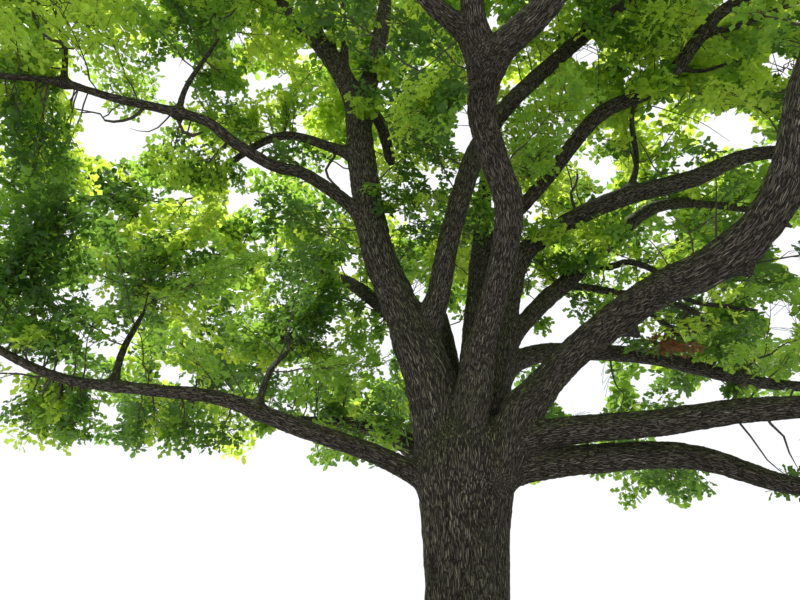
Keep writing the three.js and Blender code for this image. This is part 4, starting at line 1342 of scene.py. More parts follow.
@dataclass
class Studio:
    """The photograph's camera, a plain pale floor and soft studio light."""

    eye: Place = (-1.1, -11.0, 1.65)
    pitch_degrees: float = 24.0
    focal_pixels: float = 616.0
    picture_width: float = 800.0
    picture_height: float = 600.0
    framed: tuple[float, float] = (470.0, 370.0)
    limb_framed: tuple[float, float] = (520.0, 420.0)
    sensor_width: float = 36.0
    clip_end: float = 300.0
    floor_radius: float = 26.0
    floor_sides: int = 96
    floor_colour: tuple = (0.55, 0.55, 0.53, 1)
    sight_margin: float = 0.09
    sky_colour: tuple = (0.93, 0.95, 0.98, 1)
    sky_strength: float = 1.1
    sun_strength: float = 7.2
    sun_degrees: float = 11.0
    sun_tilt: tuple[float, float] = (-28.0, -18.0)

    def camera(self) -> None:
        """Places the camera where the photograph was taken from."""
        data = bpy.data.cameras.new("photo camera")
        data.sensor_width = self.sensor_width
        data.lens = self.focal_pixels / self.picture_width * self.sensor_width
        data.clip_end = self.clip_end
        camera = linked("photo camera", data)
        camera.location = self.eye
        camera.rotation_euler = (math.radians(90 + self.pitch_degrees), 0, 0)
        bpy.context.scene.camera = camera

    def seen_at(self, places: Array) -> tuple[Array, Array, Array]:
        """Where places show in the photograph: their pixels across and down, and how far in front."""
        pitch = math.radians(self.pitch_degrees)
        offset = places - np.array(self.eye)
        ahead = offset[:, 1] * math.cos(pitch) + offset[:, 2] * math.sin(pitch)
        up = offset[:, 2] * math.cos(pitch) - offset[:, 1] * math.sin(pitch)
        depth = np.where(ahead > 0.1, ahead, np.nan)
        across = self.picture_width / 2 + self.focal_pixels * offset[:, 0] / depth
        down = self.picture_height / 2 - self.focal_pixels * up / depth
        return across, down, ahead

    def place(self, across: float, down: float, ahead: float) -> Array:
        """The place that shows at a pixel, so far in front of the camera."""
        pitch = math.radians(self.pitch_degrees)
        forward = np.array((0.0, math.cos(pitch), math.sin(pitch)))
        upward = np.array((0.0, -math.sin(pitch), math.cos(pitch)))
        sideways = np.array(((across - self.picture_width / 2) / self.focal_pixels, 0.0, 0.0))
        lift = (self.picture_height / 2 - down) / self.focal_pixels
        return np.array(self.eye) + ahead * (forward + sideways + upward * lift)

    def nearest(self, line: Line, across: float, down: float) -> tuple[int, float]:
        """The point of a limb that shows nearest to a pixel: its number, and how far in front it is."""
        limb_across, limb_down, ahead = self.seen_at(line.points)
        gaps = np.nan_to_num(np.hypot(limb_across - across, limb_down - down), nan=np.inf)
        number = int(np.argmin(gaps))
        return number, float(ahead[number])

    def near_middle(self, across: Array, down: Array, room: tuple[float, float]) -> Array:
        """True for each pixel place that is less than so far from the picture's middle."""
        sideways = np.abs(across - self.picture_width / 2) < room[0]
        return sideways & (np.abs(down - self.picture_height / 2) < room[1])

    def frames(self, places: Array) -> Array:
        """True for each place that the photograph's frame holds, with some room round it."""
        across, down, ahead = self.seen_at(places)
        return (ahead > 1) & self.near_middle(across, down, self.framed)

    def in_windows(self, windows: Iterable[Window], places: Array) -> Array:
        """True for each place that shows in one of some windows."""
        across, down, _ = self.seen_at(places)
        return np.any([window.holds(across, down) for window in windows], axis=0)

    def in_sky(self, places: Array) -> Array:
        """True for each place that lies in one of the sky's gaps."""
        return self.in_windows(SKY_GAPS.values(), places)

    def open_in_photo(self, places: Array, lines: list[Line]) -> Array:
        """Which places the photograph shows open.

        Args:
            places: Rows of x, y and z.
            lines: The limbs that show.

        Returns:
            True for each place in one of the sky's gaps, or in front of a limb that shows.
        """
        across, down, ahead = self.seen_at(places)
        hidden = np.zeros(len(places), dtype=bool)
        for line in lines:
            limb = self.seen_at(line.points)
            shows = (limb[2] > 0.5) & self.near_middle(*limb[:2], self.limb_framed)
            for u, v, depth, radius in np.column_stack((*limb, line.radii))[shows]:
                reach = self.focal_pixels * radius / depth + self.sight_margin * self.focal_pixels / depth
                hidden |= (ahead < depth) & ((across - u) ** 2 + (down - v) ** 2 < reach**2)
        return self.in_sky(places) | (hidden & ~self.in_windows(LEAFY_SPOTS.values(), places))

    def light(self) -> None:
        """Sets the pale backdrop and the soft lights."""
        world = bpy.data.worlds.new("studio")
        world.use_nodes = True
        background = world.node_tree.nodes["Background"]
        feed(world.node_tree, background, {"Color": self.sky_colour, "Strength": self.sky_strength})
        bpy.context.scene.world = world
        lamp = bpy.data.lights.new("soft top light", "SUN")
        lamp.energy = self.sun_strength
        lamp.angle = math.radians(self.sun_degrees)
        linked("soft top light", lamp).rotation_euler = (*(math.radians(turn) for turn in self.sun_tilt), 0)
        bpy.context.scene.view_settings.view_transform = "Standard"

    def floor(self) -> None:
        """Lays the plain pale floor."""
        angles = np.linspace(0, 2 * math.pi, self.floor_sides, endpoint=False)
        rim = np.column_stack((np.cos(angles), np.sin(angles), np.zeros_like(angles))) * self.floor_radius
        floor = mesh_object("studio_floor", rim, [list(range(len(rim)))])
        made, tree, shader = new_material("pale floor")
        feed(tree, shader, {"Base Color": self.floor_colour, "Roughness": 0.9})
        floor.data.materials.append(made)
        floor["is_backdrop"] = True


def seeded(seed: int) -> Callable[[], float]:
    """The source's own random rule, so that the sprays fall where the solids have them."""
    state = seed

    def draw() -> float:
        nonlocal state
        state = (state * 1664525 + 1013904223) % 2**32
        return state / 2**32

    return draw


@dataclass
class Spray:
    """One leafy spray at the end of its twig, flat in its own plane."""

    joint: Array
    root: Array
    tip: Array
    flat: Array
    radius: float
    width: float

    @property
    def along(self) -> Array:
        """The direction from root to tip."""
        return unit(self.tip - self.root)

    @property
    def across(self) -> Array:
        """The direction from the spray's middle to its left edge."""
        return unit(np.cross(self.flat, self.along))


@dataclass
class Mass:
    """One mass of foliage, grown by the source's rule from its bough's tip.

    Args:
        name: The mass's name, as its CAD node has it.
        bough: The bough that carries it.
        middle: The mass's middle.
        half: Its half sizes.
        side: Which side of the tip its stem takes where two share a bough.
        seed: The seed of its random rule.
    """

    name: str
    bough: Bough
    middle: Array
    half: Array
    side: int
    seed: int
    clear: float = 0.00035
    stem_share: float = 0.4
    stem_foot: float = 1.6
    stem_end: float = 0.8
    stem_reach: float = 0.55
    stem_straight: float = 0.26
    twin_shift: float = 0.5
    spray_length: float = 2.15
    spray_width: float = 1.55
    spray_widest: float = 0.58
    spray_thickness: float = 0.08
    spray_tries: int = 11
    spray_room: float = 1.02
    spray_tilt: Place = (1.8, 0.9, 0.8)
    twig_start: float = 0.26
    twig_start_share: float = 0.6
    twig_tip_radius: float = 0.016
    twig_share: float = 0.75
    foot_sink: float = 0.35
    joints: Place = (0.35, 0.6, 0.85)
    reaches: tuple = (1, 0.9, 0.8, 0.7, 0.6)
    limb_room: float = 0.15
    stem_room: float = 0.03
    cell_room: float = 0.03
    path_cost: float = 0.35
    lowest_leaf: float = 2.1
    sprays: list[Spray] = field(default_factory=list)

    @cached_property
    def size(self) -> float:
        """The mass's size, for sharing out the space."""
        return float(np.mean(self.half))

    @cached_property
    def stem(self) -> tuple[Array, Array]:
        """The stem's stations: their places and radii."""
        places, radii = self.bough.stations
        out = unit(places[-1] - places[-2])
        beside = unit(np.cross(out, (0.0, 0.0, 1.0)))
        radius = radii[-1] * self.stem_share
        foot = places[-1] + out * self.clear + beside * self.side * radii[-1] * self.twin_shift
        points = (foot, foot + out * self.stem_straight, foot + (self.middle - foot) * self.stem_reach)
        first = radius if self.side else radius * self.stem_foot
        return np.array(points), np.array((first, radius, radius * self.stem_end))

    def owns(self, places: Array, masses: "list[Mass]") -> Array:
        """True for each place that lies in the mass's own space."""
        own = ((places - self.middle) ** 2).sum(1) - self.size**2
        inside = places[:, 2] >= self.lowest_leaf
        for other in masses:
            if other is not self:
                theirs = ((places - other.middle) ** 2).sum(1) - other.size**2
                apart = float(np.linalg.norm(self.middle - other.middle))
                inside &= theirs - own > 2 * self.cell_room * apart
        return inside

    def blade_points(self, spray: Spray) -> Array:
        """The points of a spray's blade that are tested for room."""
        rows = []
        across = unit(np.cross(spray.along, spray.flat))
        for share in np.arange(0, 1.001, 0.125):
            widest = self.spray_widest
            half = share / widest if share < widest else (1 - share) / (1 - widest)
            for side in (-1, -0.5, 0, 0.5, 1):
                middle = spray.root + (spray.tip - spray.root) * share
                rows.append(middle + across * side * half * self.spray_width / 2)
        return np.array(rows)

    def blade(self, spray: Spray, start: Array) -> BVHTree:
        """A spray's solid in the source, from a given start of its twig."""
        along, across = spray.along, spray.across

        def ring(middle: Array, size: float) -> list[Array]:
            angles = (math.radians(turn) for turn in (90, 210, 330))
            return [middle + size * (math.cos(a) * across + math.sin(a) * spray.flat) for a in angles]

        foot = start - along * self.foot_sink * spray.radius
        middle = spray.root + (spray.tip - spray.root) * self.spray_widest
        corners = [
            *ring(foot, max(spray.radius * self.twig_share, self.twig_tip_radius)),
            *ring(spray.root, self.twig_tip_radius),
            middle + across * self.spray_width / 2,
            middle + spray.flat * self.spray_thickness / 2,
            middle - across * self.spray_width / 2,
            middle - spray.flat * self.spray_thickness / 2,
            spray.tip,
        ]
        stalk = ((0, 2, 1), (0, 1, 4), (0, 4, 3), (1, 2, 5), (1, 5, 4), (2, 0, 3), (2, 3, 5))
        spread = ((3, 8, 7), (3, 4, 8), (4, 9, 8), (4, 5, 9), (5, 6, 9), (5, 3, 6), (3, 7, 6))
        point = ((6, 7, 10), (7, 8, 10), (8, 9, 10), (9, 6, 10))
        return face_tree(corners, stalk + spread + point)

    def aims(self, foot: Array) -> list[tuple[Array, float, float]]:
        """What the sprays are aimed at, in a golden-angle turn: the reach, a lean and the turn."""
        draw = seeded(self.seed)
        made = []
        for i in range(self.spray_tries):
            height = 1 - 2 * (i + 0.5) / self.spray_tries
            turn = i * math.pi * (3 - math.sqrt(5)) + draw() * 0.5
            level = math.sqrt(1 - height * height)
            wobble = 0.92 + 0.16 * draw()
            lean = draw() - 0.5
            reach = self.half * (level * math.cos(turn), level * math.sin(turn), height) * wobble
            made.append((reach, lean, turn))
        return sorted(made, key=lambda aim: float(np.linalg.norm(self.middle + aim[0] - foot)))

    def grow(self, masses: "list[Mass]", lines: list, obstacles: list) -> None:
        """Grows the mass's sprays.

        Args:
            masses: All masses.
            lines: Pairs of places and radii of the limbs, and of the other masses' stems.
            obstacles: Trees of faces of the limbs and the other masses' stems nearby.
        """
        joints: list[tuple[Array, float, float]] = []

        def add_joints(start: Array, start_radius: float, end: Array, end_radius: float, path: float) -> None:
            for share in self.joints:
                at = start + (end - start) * share
                if self.owns(at[None], masses)[0]:
                    radius = start_radius + (end_radius - start_radius) * share
                    joints.append((at, radius, path + float(np.linalg.norm(at - start))))

        stem, radii = self.stem
        add_joints(stem[1], radii[1], stem[2], radii[2], 0.0)
        blades: list[BVHTree] = []
        for reach, lean, turn in self.aims(stem[0]):
            for share in self.reaches:
                tip = self.middle + reach * share
                fits = [j for j in joints if np.linalg.norm(j[0] - tip) > self.spray_length * self.spray_room]
                if not fits:
                    continue
                joint = min(fits, key=lambda j: float(np.linalg.norm(j[0] - tip)) + self.path_cost * j[2])
                along = unit(tip - joint[0])
                root = tip - along * self.spray_length
                flat = np.array(self.spray_tilt) * (lean, math.sin(turn), 1)
                spray = Spray(joint[0], root, tip, square_to(flat, along), joint[1], self.spray_width)
                tested = np.vstack((self.blade_points(spray), (joint[0] + root) / 2, root))
                if not (self.owns(tested, masses).all() and clear_of(tested, lines, self.limb_room)):
                    continue
                length = float(np.linalg.norm(joint[0] - root))
                start = joint[0] + along * min(self.twig_start, self.twig_start_share * length)
                outer = self.blade(spray, start)
                if any(outer.overlap(other) for other in (*blades, *obstacles)):
                    continue
                blades.append(self.blade(spray, joint[0]))
                self.sprays.append(spray)
                joints[:] = [each for each in joints if each is not joint]
                add_joints(joint[0], joint[1], root, self.twig_tip_radius, joint[2])
                break


@dataclass
class Foliage:
    """What grows in one zone: twigs, thinner shoots, and rosettes of leaves.

    Each twig and shoot notes the first and the last of the rosettes that it carries.
    """

    twigs: list[tuple[Array, Array, int, int]] = field(default_factory=list)
    shoots: list[tuple[Array, Array, Array, float, int, int]] = field(default_factory=list)
    rosettes: list[tuple[Array, Array, float, Tint]] = field(default_factory=list)
    thin: float = 0.006
    bare_share: float = 0.3
    elbow_share: float = 0.7

    def thin_out(self, kept: Array, studio: Studio) -> None:
        """Drops rosettes, the twigs and shoots that would be left bare, and what ends in the sky's gaps.

        Args:
            kept: True for each rosette that stays.
            studio: The studio, for where the gaps are.
        """
        before = np.concatenate(((0,), np.cumsum(kept)))

        def leafy(limbs: list[tuple], ends: list[Array], sky_share: float) -> list[tuple]:
            shares = np.where(studio.in_sky(np.array(ends)), sky_share, self.bare_share)
            first, last = np.array([limb[-2:] for limb in limbs]).T
            stays = before[last] - before[first] >= (last - first) * shares
            return [limb for limb, stay in zip(limbs, stays) if stay]

        self.twigs = leafy(self.twigs, [twig[0][-1] for twig in self.twigs], 2 * self.bare_share)
        self.shoots = leafy(self.shoots, [shoot[2] for shoot in self.shoots], 2)
        self.rosettes = [rosette for rosette, stays in zip(self.rosettes, kept) if stays]

    def mesh(self) -> tuple[Array, Array]:
        """Corners and three-cornered faces of all the twigs and shoots, each closed."""
        corners, faces = joined([tube(points, radii, 4) for points, radii, _, _ in self.twigs])
        thick = np.array([shoot[3] > self.thin for shoot in self.shoots])
        parts = [(corners, triangles(faces)), self.spikes(thick, True), self.spikes(~thick, False)]
        counts = np.cumsum([0, *(len(part[0]) for part in parts)])
        moved = [part[1] + count for part, count in zip(parts, counts)]
        return np.vstack([part[0] for part in parts]), np.vstack(moved)

    def spikes(self, chosen: Array, bent: bool) -> tuple[Array, Array]:
        """Some of the shoots, bent half way or straight."""
        rows = np.flatnonzero(chosen)
        start, middle, end = (np.array([self.shoots[row][k] for row in rows]) for k in range(3))
        radius = np.array([[self.shoots[row][3]] for row in rows])
        along = unit(end - start)
        helper = np.where(np.abs(along[:, 2:]) > 0.9, (1.0, 0.0, 0.0), (0.0, 0.0, 1.0))
        across = unit(np.cross(along, helper))
        beside = np.cross(along, across)
        corners = []
        for place, share in ((start, 1.0), (middle, self.elbow_share))[: 2 if bent else 1]:
            for angle in map(math.radians, (0, 120, 240)):
                corners.append(place + radius * share * (math.cos(angle) * across + math.sin(angle) * beside))
        corners = np.stack((*corners, end), axis=1).reshape(-1, 3)
        faces = ((0, 2, 1), (0, 1, 3), (1, 2, 3), (2, 0, 3))
        if bent:
            leg = ((0, 1, 4), (0, 4, 3), (1, 2, 5), (1, 5, 4), (2, 0, 3), (2, 3, 5))
            faces = (faces[0], *leg, (3, 4, 6), (4, 5, 6), (5, 3, 6))
        offsets = np.arange(len(start))[:, None, None] * (7 if bent else 4)
        return corners, (np.array(faces) + offsets).reshape(-1, 3)


@dataclass
class SprayGrowth:
    """Carries a spray on to side twigs, shoots and rosettes, all inside its outline.

    Args:
        random: The seeded source of chance.
        foliage: Takes what grows.
        spray: The spray.
        tint: Its leaves' tint.
        scale: Its leaves' size, with 1 as usual.
    """

    random: Random
    foliage: Foliage
    spray: Spray
    tint: Tint
    scale: float
    side_twigs: int = 12
    usual_length: float = 2.15
    side_angle: float = 0.87
    shoot_gap: float = 0.2
    shoot_length: float = 0.13
    shoot_radius: float = 0.0045
    side_radius: float = 0.0085
    twig_radii: Place = (0.016, 0.014, 0.0035)
    bare_bend: float = 0.09
    bare_gap: float = 0.3
    droop: float = 0.1
    lift: float = 0.16
    rosette_size: float = 0.215

    def outline(self, share: float) -> float:
        """How wide the spray is at a share of its length, with 1 at its widest."""
        return math.sin(math.pi * min(share**0.8 * 0.93 + 0.07, 1.0)) ** 0.6

    def grow(self) -> None:
        """Grows the spray."""
        random, foliage, spray, flat = self.random, self.foliage, self.spray, self.spray.flat
        whole = len(foliage.rosettes)
        along, across = spray.along, spray.across
        length = float(np.linalg.norm(spray.tip - spray.root))
        bow = across * random.uniform(-0.12, 0.12) * length + flat * random.uniform(-0.02, 0.06) * length
        fall = np.array((0.0, 0.0, -self.droop * length))

        def axis(share: float) -> Array:
            straight = spray.root + (spray.tip - spray.root) * share
            return straight + bow * math.sin(math.pi * share) * 0.6 + fall * share**3 * 0.5

        bare = spray.root - spray.joint
        bare_length = float(np.linalg.norm(bare))
        bent = spray.joint + bare * 0.55 + (across * random.normal() - flat) * self.bare_bend * bare_length
        twig = np.array([spray.joint, bent, *(axis(share) for share in np.linspace(0, 1, 7))])
        thickest, thick, thin = self.twig_radii
        radii = [spray.radius * 0.75, max(spray.radius * 0.5, thickest), *np.linspace(thick, thin, 7)]
        for share in np.arange(self.bare_gap, 1.0, self.bare_gap / max(bare_length, 0.3)):
            away = unit(unit(bare) + across * random.choice((-1, 1)) + flat * random.uniform(-0.6, 0.8))
            self.shoot(bent + (spray.root - bent) * share, away, random.uniform(0.8, 2.0))
        count = max(int(self.side_twigs * length / self.usual_length / min(self.scale, 1.0)), 5)
        for k in range(count):
            share = 0.03 + 0.94 * (k + random.uniform(-0.3, 0.3) + 0.5) / count
            side = 1 if k % 2 else -1
            start = axis(share)
            reach = self.outline(share) * spray.width / 2 * random.uniform(0.85, 1.15)
            angle = self.side_angle * random.uniform(0.8, 1.15) * (1.1 - 0.4 * share)
            direction = along * math.cos(angle) + across * side * math.sin(angle)
            direction = unit(direction + flat * random.uniform(-self.lift, self.lift) * 1.6)
            twig_length = reach / max(math.sin(angle), 0.45)
            end = start + direction * twig_length + fall * 0.25 * random.uniform(0, 1)
            bent = (start + end) / 2 + flat * random.uniform(0, 0.05) + along * random.uniform(-0.03, 0.05)
            self.side_twig(start, bent, end, side)
        self.rosette(axis(1.0), along)
        foliage.twigs.append((twig, np.array(radii), whole, len(foliage.rosettes)))

    def side_twig(self, start: Array, bent: Array, end: Array, turn: int) -> None:
        """Makes one side twig with shoots that carry rosettes, and one rosette at its end."""
        random, flat = self.random, self.spray.flat
        whole = len(self.foliage.rosettes)
        direction = unit(end - start)
        sideways = unit(np.cross(flat, direction))
        length = float(np.linalg.norm(end - start))
        count = max(int(length / (self.shoot_gap * min(self.scale, 1.0))), 1)
        for k in range(count):
            share = (k + 0.75 + random.uniform(-0.2, 0.2)) / (count + 0.4)
            at = start + (end - start) * share + (bent - (start + end) / 2) * 4 * share * (1 - share)
            turn = -turn
            away = unit(direction * 0.7 + sideways * turn + flat * random.uniform(-0.7, 0.9))
            self.shoot(at, away, random.uniform(0.6, 1.4))
        self.rosette(end, direction)
        self.foliage.shoots.append((start, bent, end, self.side_radius, whole, len(self.foliage.rosettes)))

    def shoot(self, at: Array, away: Array, share: float) -> None:
        """Makes one shoot, a share of the usual length, with a rosette at its end."""
        tip = at + away * self.shoot_length * share
        number = len(self.foliage.rosettes)
        self.foliage.shoots.append((at, (at + tip) / 2, tip, self.shoot_radius, number, number + 1))
        self.rosette(tip, away)

    def rosette(self, place: Array, direction: Array) -> None:
        """Opens one rosette of leaves, which turns its face upwards."""
        flat = self.spray.flat
        up = flat if flat[2] > 0 else -flat
        axis = unit(direction * 0.45 + up * 0.6 + np.array((0, 0, 0.35)) + self.random.normal(0, 0.42, 3))
        size = self.rosette_size * self.scale * self.random.uniform(0.8, 1.2)
        self.foliage.rosettes.append((place, axis, size, self.tint))


@dataclass(frozen=True)
class LeafOutline:
    """Half of a leaf's outline from stalk to tip, the faces that fill it, and a rosette's leaves."""

    points: tuple
    faces: tuple
    leaves: int


class LeafKind(Enum):
    """The lobed leaves that show from near, and the plainer ones further off."""

    LOBED = LeafOutline(
        ((0.0, 0.0), (0.2, 0.31), (0.1, 0.47), (0.31, 0.71), (0.0, 1.0)), ((0, 1, 2), (0, 2, 4), (2, 3, 4)), 5
    )
    PLAIN = LeafOutline(((0.0, 0.0), (0.27, 0.36), (0.31, 0.7), (0.0, 1.0)), ((0, 1, 2), (0, 2, 3)), 4)


@dataclass
class LeafRosette:
    """The leaves of one rosette, each folded a little along its midrib."""

    outline: LeafOutline
    fold: float = 0.22
    sag: float = -0.16
    stalk: float = 0.08

    def source(self, name: str, seed: int) -> Piece:
        """Makes one rosette, one unit in size, opening along +Z."""
        random = np.random.default_rng(seed)
        outline = self.outline
        corners, faces = [], []
        for k in range(outline.leaves):
            turn = 2 * math.pi * (k + random.uniform(-0.25, 0.25)) / outline.leaves
            rise = random.uniform(-0.45, 0.7)
            length = random.uniform(0.75, 1.15)
            sine, cosine, flat = math.sin(turn), math.cos(turn), math.cos(rise)
            outward = np.array((cosine * flat, sine * flat, math.sin(rise)))
            level = np.array((-sine, cosine, 0.0))
            roll = random.uniform(-0.8, 0.8)
            upright = np.cross(outward, level)
            sideways = level * math.cos(roll) + upright * math.sin(roll)
            normal = upright * math.cos(roll) - level * math.sin(roll)
            places = {}
            for i, (wide, far) in enumerate(outline.points):
                for side in (-1, 1) if wide else (0,):
                    places[i, side] = len(corners)
                    blade = outward * far + sideways * wide * side - normal * self.fold * wide
                    sag = np.array((0, 0, self.sag * far * far * length))
                    corners.append(outward * self.stalk * length + blade * length + sag)
            for side in (-1, 1):
                for face in outline.faces:
                    faces.append([places[i, side if outline.points[i][0] else 0] for i in face][::side])
        return mesh_object(name, np.array(corners), faces)


@dataclass
class LeafSetter:
    """Sets rosettes of leaves on points, by Geometry Nodes."""

    seeds: tuple = (11, 12, 13, 14)

    @cached_property
    def sources(self) -> list[Piece]:
        """The rosettes to choose from, kind by kind."""
        return [
            LeafRosette(kind.value).source(f"{kind.name.lower()}_rosette_{seed}", seed)
            for kind in LeafKind
            for seed in self.seeds
        ]

    @cached_property
    def tree(self) -> Tree:
        """The node tree: a rosette on each point, turned to its axis and rolled by chance."""
        inputs = {source.name: "Object" for source in self.sources} | {"Seed": "Int"}
        tree, given = new_geometry_tree("leaf rosettes", inputs)
        choice = node(tree, "GeometryNodeGeometryToInstance")
        for source in reversed(self.sources):
            info = node(tree, "GeometryNodeObjectInfo", {"Object": given[source.name]})
            tree.links.new(info.outputs["Geometry"], choice.inputs[0])
        axis = {"Vector": named(tree, "axis", "FLOAT_VECTOR")}
        turned = node(tree, "FunctionNodeAlignRotationToVector", axis, axis="Z").outputs[0]
        chance = {"Seed": given["Seed"], 2: 0.0, 3: 2 * math.pi}
        roll = node(tree, "FunctionNodeRandomValue", chance, data_type="FLOAT").outputs[1]
        rolled = node(tree, "FunctionNodeAxisAngleToRotation", {"Axis": (0, 0, 1), "Angle": roll}).outputs[0]
        turns = {0: turned, 1: rolled}
        placing = {
            "Points": node(tree, "GeometryNodeMeshToPoints", {"Mesh": given["Geometry"]}).outputs[0],
            "Instance": choice.outputs[0],
            "Pick Instance": True,
            "Instance Index": named(tree, "pick", "INT"),
            "Rotation": node(tree, "FunctionNodeRotateRotation", turns, rotation_space="LOCAL").outputs[0],
            "Scale": named(tree, "size", "FLOAT"),
        }
        placed = node(tree, "GeometryNodeInstanceOnPoints", placing)
        end_geometry_tree(tree, placed.outputs[0], given["Material"])
        return tree

    def leaves(self, name: str, rosettes: tuple, far: Array, tint: Tint, seed: int) -> Piece:
        """Makes a piece of leaves.

        Args:
            name: The piece's name.
            rosettes: Where the rosettes open, the way each of them faces, and how large each is.
            far: True for each that is far off, whose leaves are plainer.
            tint: The leaves' tint.
            seed: The seed for roll and choice.

        Returns:
            The piece, as a plain mesh.
        """
        places, axes, sizes = rosettes
        piece = mesh_object(name, places, [])
        store(piece.data, "axis", axes)
        store(piece.data, "size", sizes)
        picks = np.random.default_rng(seed).integers(0, len(self.seeds), len(places))
        store(piece.data, "pick", picks + len(self.seeds) * far)
        values = {"Seed": seed, "Material": tint.value.material()}
        run_geometry_tree(piece, self.tree, values | {source.name: source for source in self.sources})
        return piece

    def clear(self) -> None:
        """Takes the rosettes to choose from out of the scene."""
        for source in self.sources:
            bpy.data.objects.remove(source)


@dataclass
class Oak:
    """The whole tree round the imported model's nodes.

    Args:
        studio: The studio, for where things show in the photograph.
        box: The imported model's lowest and highest corner.
        voxel: How far apart the corners of the wood's skin are.
    """

    studio: Studio
    box: tuple[Array, Array]
    voxel: float = 0.032
    quick_voxel: float = 1.8
    most_faces: int = 95000
    first_seed: int = 101
    seed_step: int = 37
    side_seed: int = 1000
    spot_seed: int = 77
    heavy: float = 0.34
    finer_sprays: tuple = (11, 24)
    finer_gap: tuple = (0.7, 2.6)
    side_spacing: float = 0.42
    side_branch_end: float = 0.06
    unseen_share: float = 0.35
    spot_nearer: tuple = (0.4, 1.1)
    spot_further: tuple = (-1.0, 0.2)
    dead_nearer: tuple = (1.1, 1.4)
    dead_scale: float = 0.6
    twig_radius: float = 0.016
    skin_thickness: float = 0.115
    # Painted light and shade by height: low sprays take mostly the middle and deep tints as painted shade,
    # high sprays mostly the bright tint as painted light.
    tint_heights: tuple = (6.0, 12.0)
    low_tints: tuple = (0.16, 0.42, 0.42, 0.0)
    high_tints: tuple = (0.56, 0.28, 0.16, 0.0)
    leaf_distances: tuple = (5.0, 10.0, 15.0, 24.0)
    leaf_scales: tuple = (0.4, 0.66, 0.96, 1.4)
    lobed_reach: float = 17.0
    leaf_room: float = 0.06
    overhang: float = 0.1

    @cached_property
    def boughs(self) -> dict[str, Bough]:
        """All boughs by name."""
        return {name: Bough(name, *entry) for name, entry in BOUGHS.items()}

    @cached_property
    def side_branches(self) -> list[Bough]:
        """The thin branches, stubs and burls that the photograph shows."""
        return [self.side_branch(name, *entry) for name, entry in SIDE_BRANCHES.items()]

    def side_branch(self, name: str, bough: str, ends: tuple, behind: float, route: tuple) -> Bough:
        """A side branch with its places, its foot inside its bough.

        Args:
            name: The branch's name.
            bough: What it springs from.
            ends: Its thickness at its foot and at its tip.
            behind: How far its tip lies behind its foot.
            route: The pixels that it passes.

        Returns:
            The branch.
        """
        line = self.boughs[bough].line
        foot, ahead = self.studio.nearest(line, *route[0])
        shares = np.linspace(0, 1, len(route))
        places = [line.points[foot]]
        for share, pixel in zip(shares[1:], route[1:]):
            places.append(self.studio.place(*pixel, ahead + behind * share))
        thick = np.interp(shares, (0, 1), ends)
        stations = tuple((*(float(v) for v in place), float(t)) for place, t in zip(places, thick))
        return Bough(name, bough, stations, end_length=self.side_branch_end)

    @cached_property
    def limbs(self) -> list[Bough]:
        """What the wood's skin covers: the boughs and the thicker side branches."""
        thick = [each for each in self.side_branches if each.route[0][3] > self.skin_thickness]
        return [*self.boughs.values(), *thick]

    @cached_property
    def masses(self) -> list[Mass]:
        """All masses of foliage, not yet grown."""
        made = []
        for i, (name, (bough, middle, half, side)) in enumerate(MASSES.items()):
            seed = self.first_seed + self.seed_step * i
            made.append(Mass(name, self.boughs[bough], np.array(middle), np.array(half), side, seed))
        return made

    @cached_property
    def skin(self) -> Skin:
        """The wood's skin, not yet built."""
        coarser = 1.0
        return Skin([TrunkForm(), *(limb.line for limb in self.limbs)], self.voxel * coarser)

    @cached_property
    def shown(self) -> list[Line]:
        """The limbs that show bare in the photograph."""
        every = (*self.boughs.values(), *self.side_branches)
        return [bough.line for bough in every if not bough.name.startswith("rear_")]

    def finish(self, piece: Piece, slot: str, replaced: Iterable[str]) -> None:
        """Lets a piece stand for its nodes: hides them and attaches the piece to the root body."""
        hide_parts(*replaced)
        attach(piece, "root")
        LOG.info("%s: %d faces", piece.name, len(piece.data.polygons))

    def build_wood(self) -> None:
        """Builds the trunk with its fork, and each zone's boughs."""
        bark = BarkFinish()
        whole, form = self.skin.build()
        BarkRelief(bark).apply(whole, bark.material())
        mesh = whole.data
        first = read(mesh.loops, "vertex_index")[read(mesh.polygons, "loop_start")]
        places = read(mesh.vertices, "co", 3, np.float32)[first].astype(float)
        zones = list(Zone)
        zone_of = np.array([-1, *(zones.index(limb.zone) for limb in self.limbs)])
        zone = zone_of[form[first]]
        zone[np.linalg.norm(places - FORK_MIDDLE, axis=1) < FORK_REACH] = -1
        zone[places[:, 2] < FORK_MIDDLE[2] - FORK_REACH] = -1
        for number in range(-1, len(zones)):
            faces = np.flatnonzero(zone == number)
            faces = faces[np.argsort(places[faces, 2], kind="stable")]
            label = "trunk_and_fork" if number < 0 else f"{zones[number].label}_boughs"
            replaced = [name for name, each in zip(("trunk", *self.boughs), zone_of) if each == number]
            for k, part in enumerate(np.array_split(faces, math.ceil(len(faces) / self.most_faces))):
                piece = cut_out(whole, f"{label}_{k + 1}", part)
                if number < 0 and k == 0:
                    flat_cut(piece)
                self.finish(piece, "bark", replaced)
        bpy.data.objects.remove(whole)

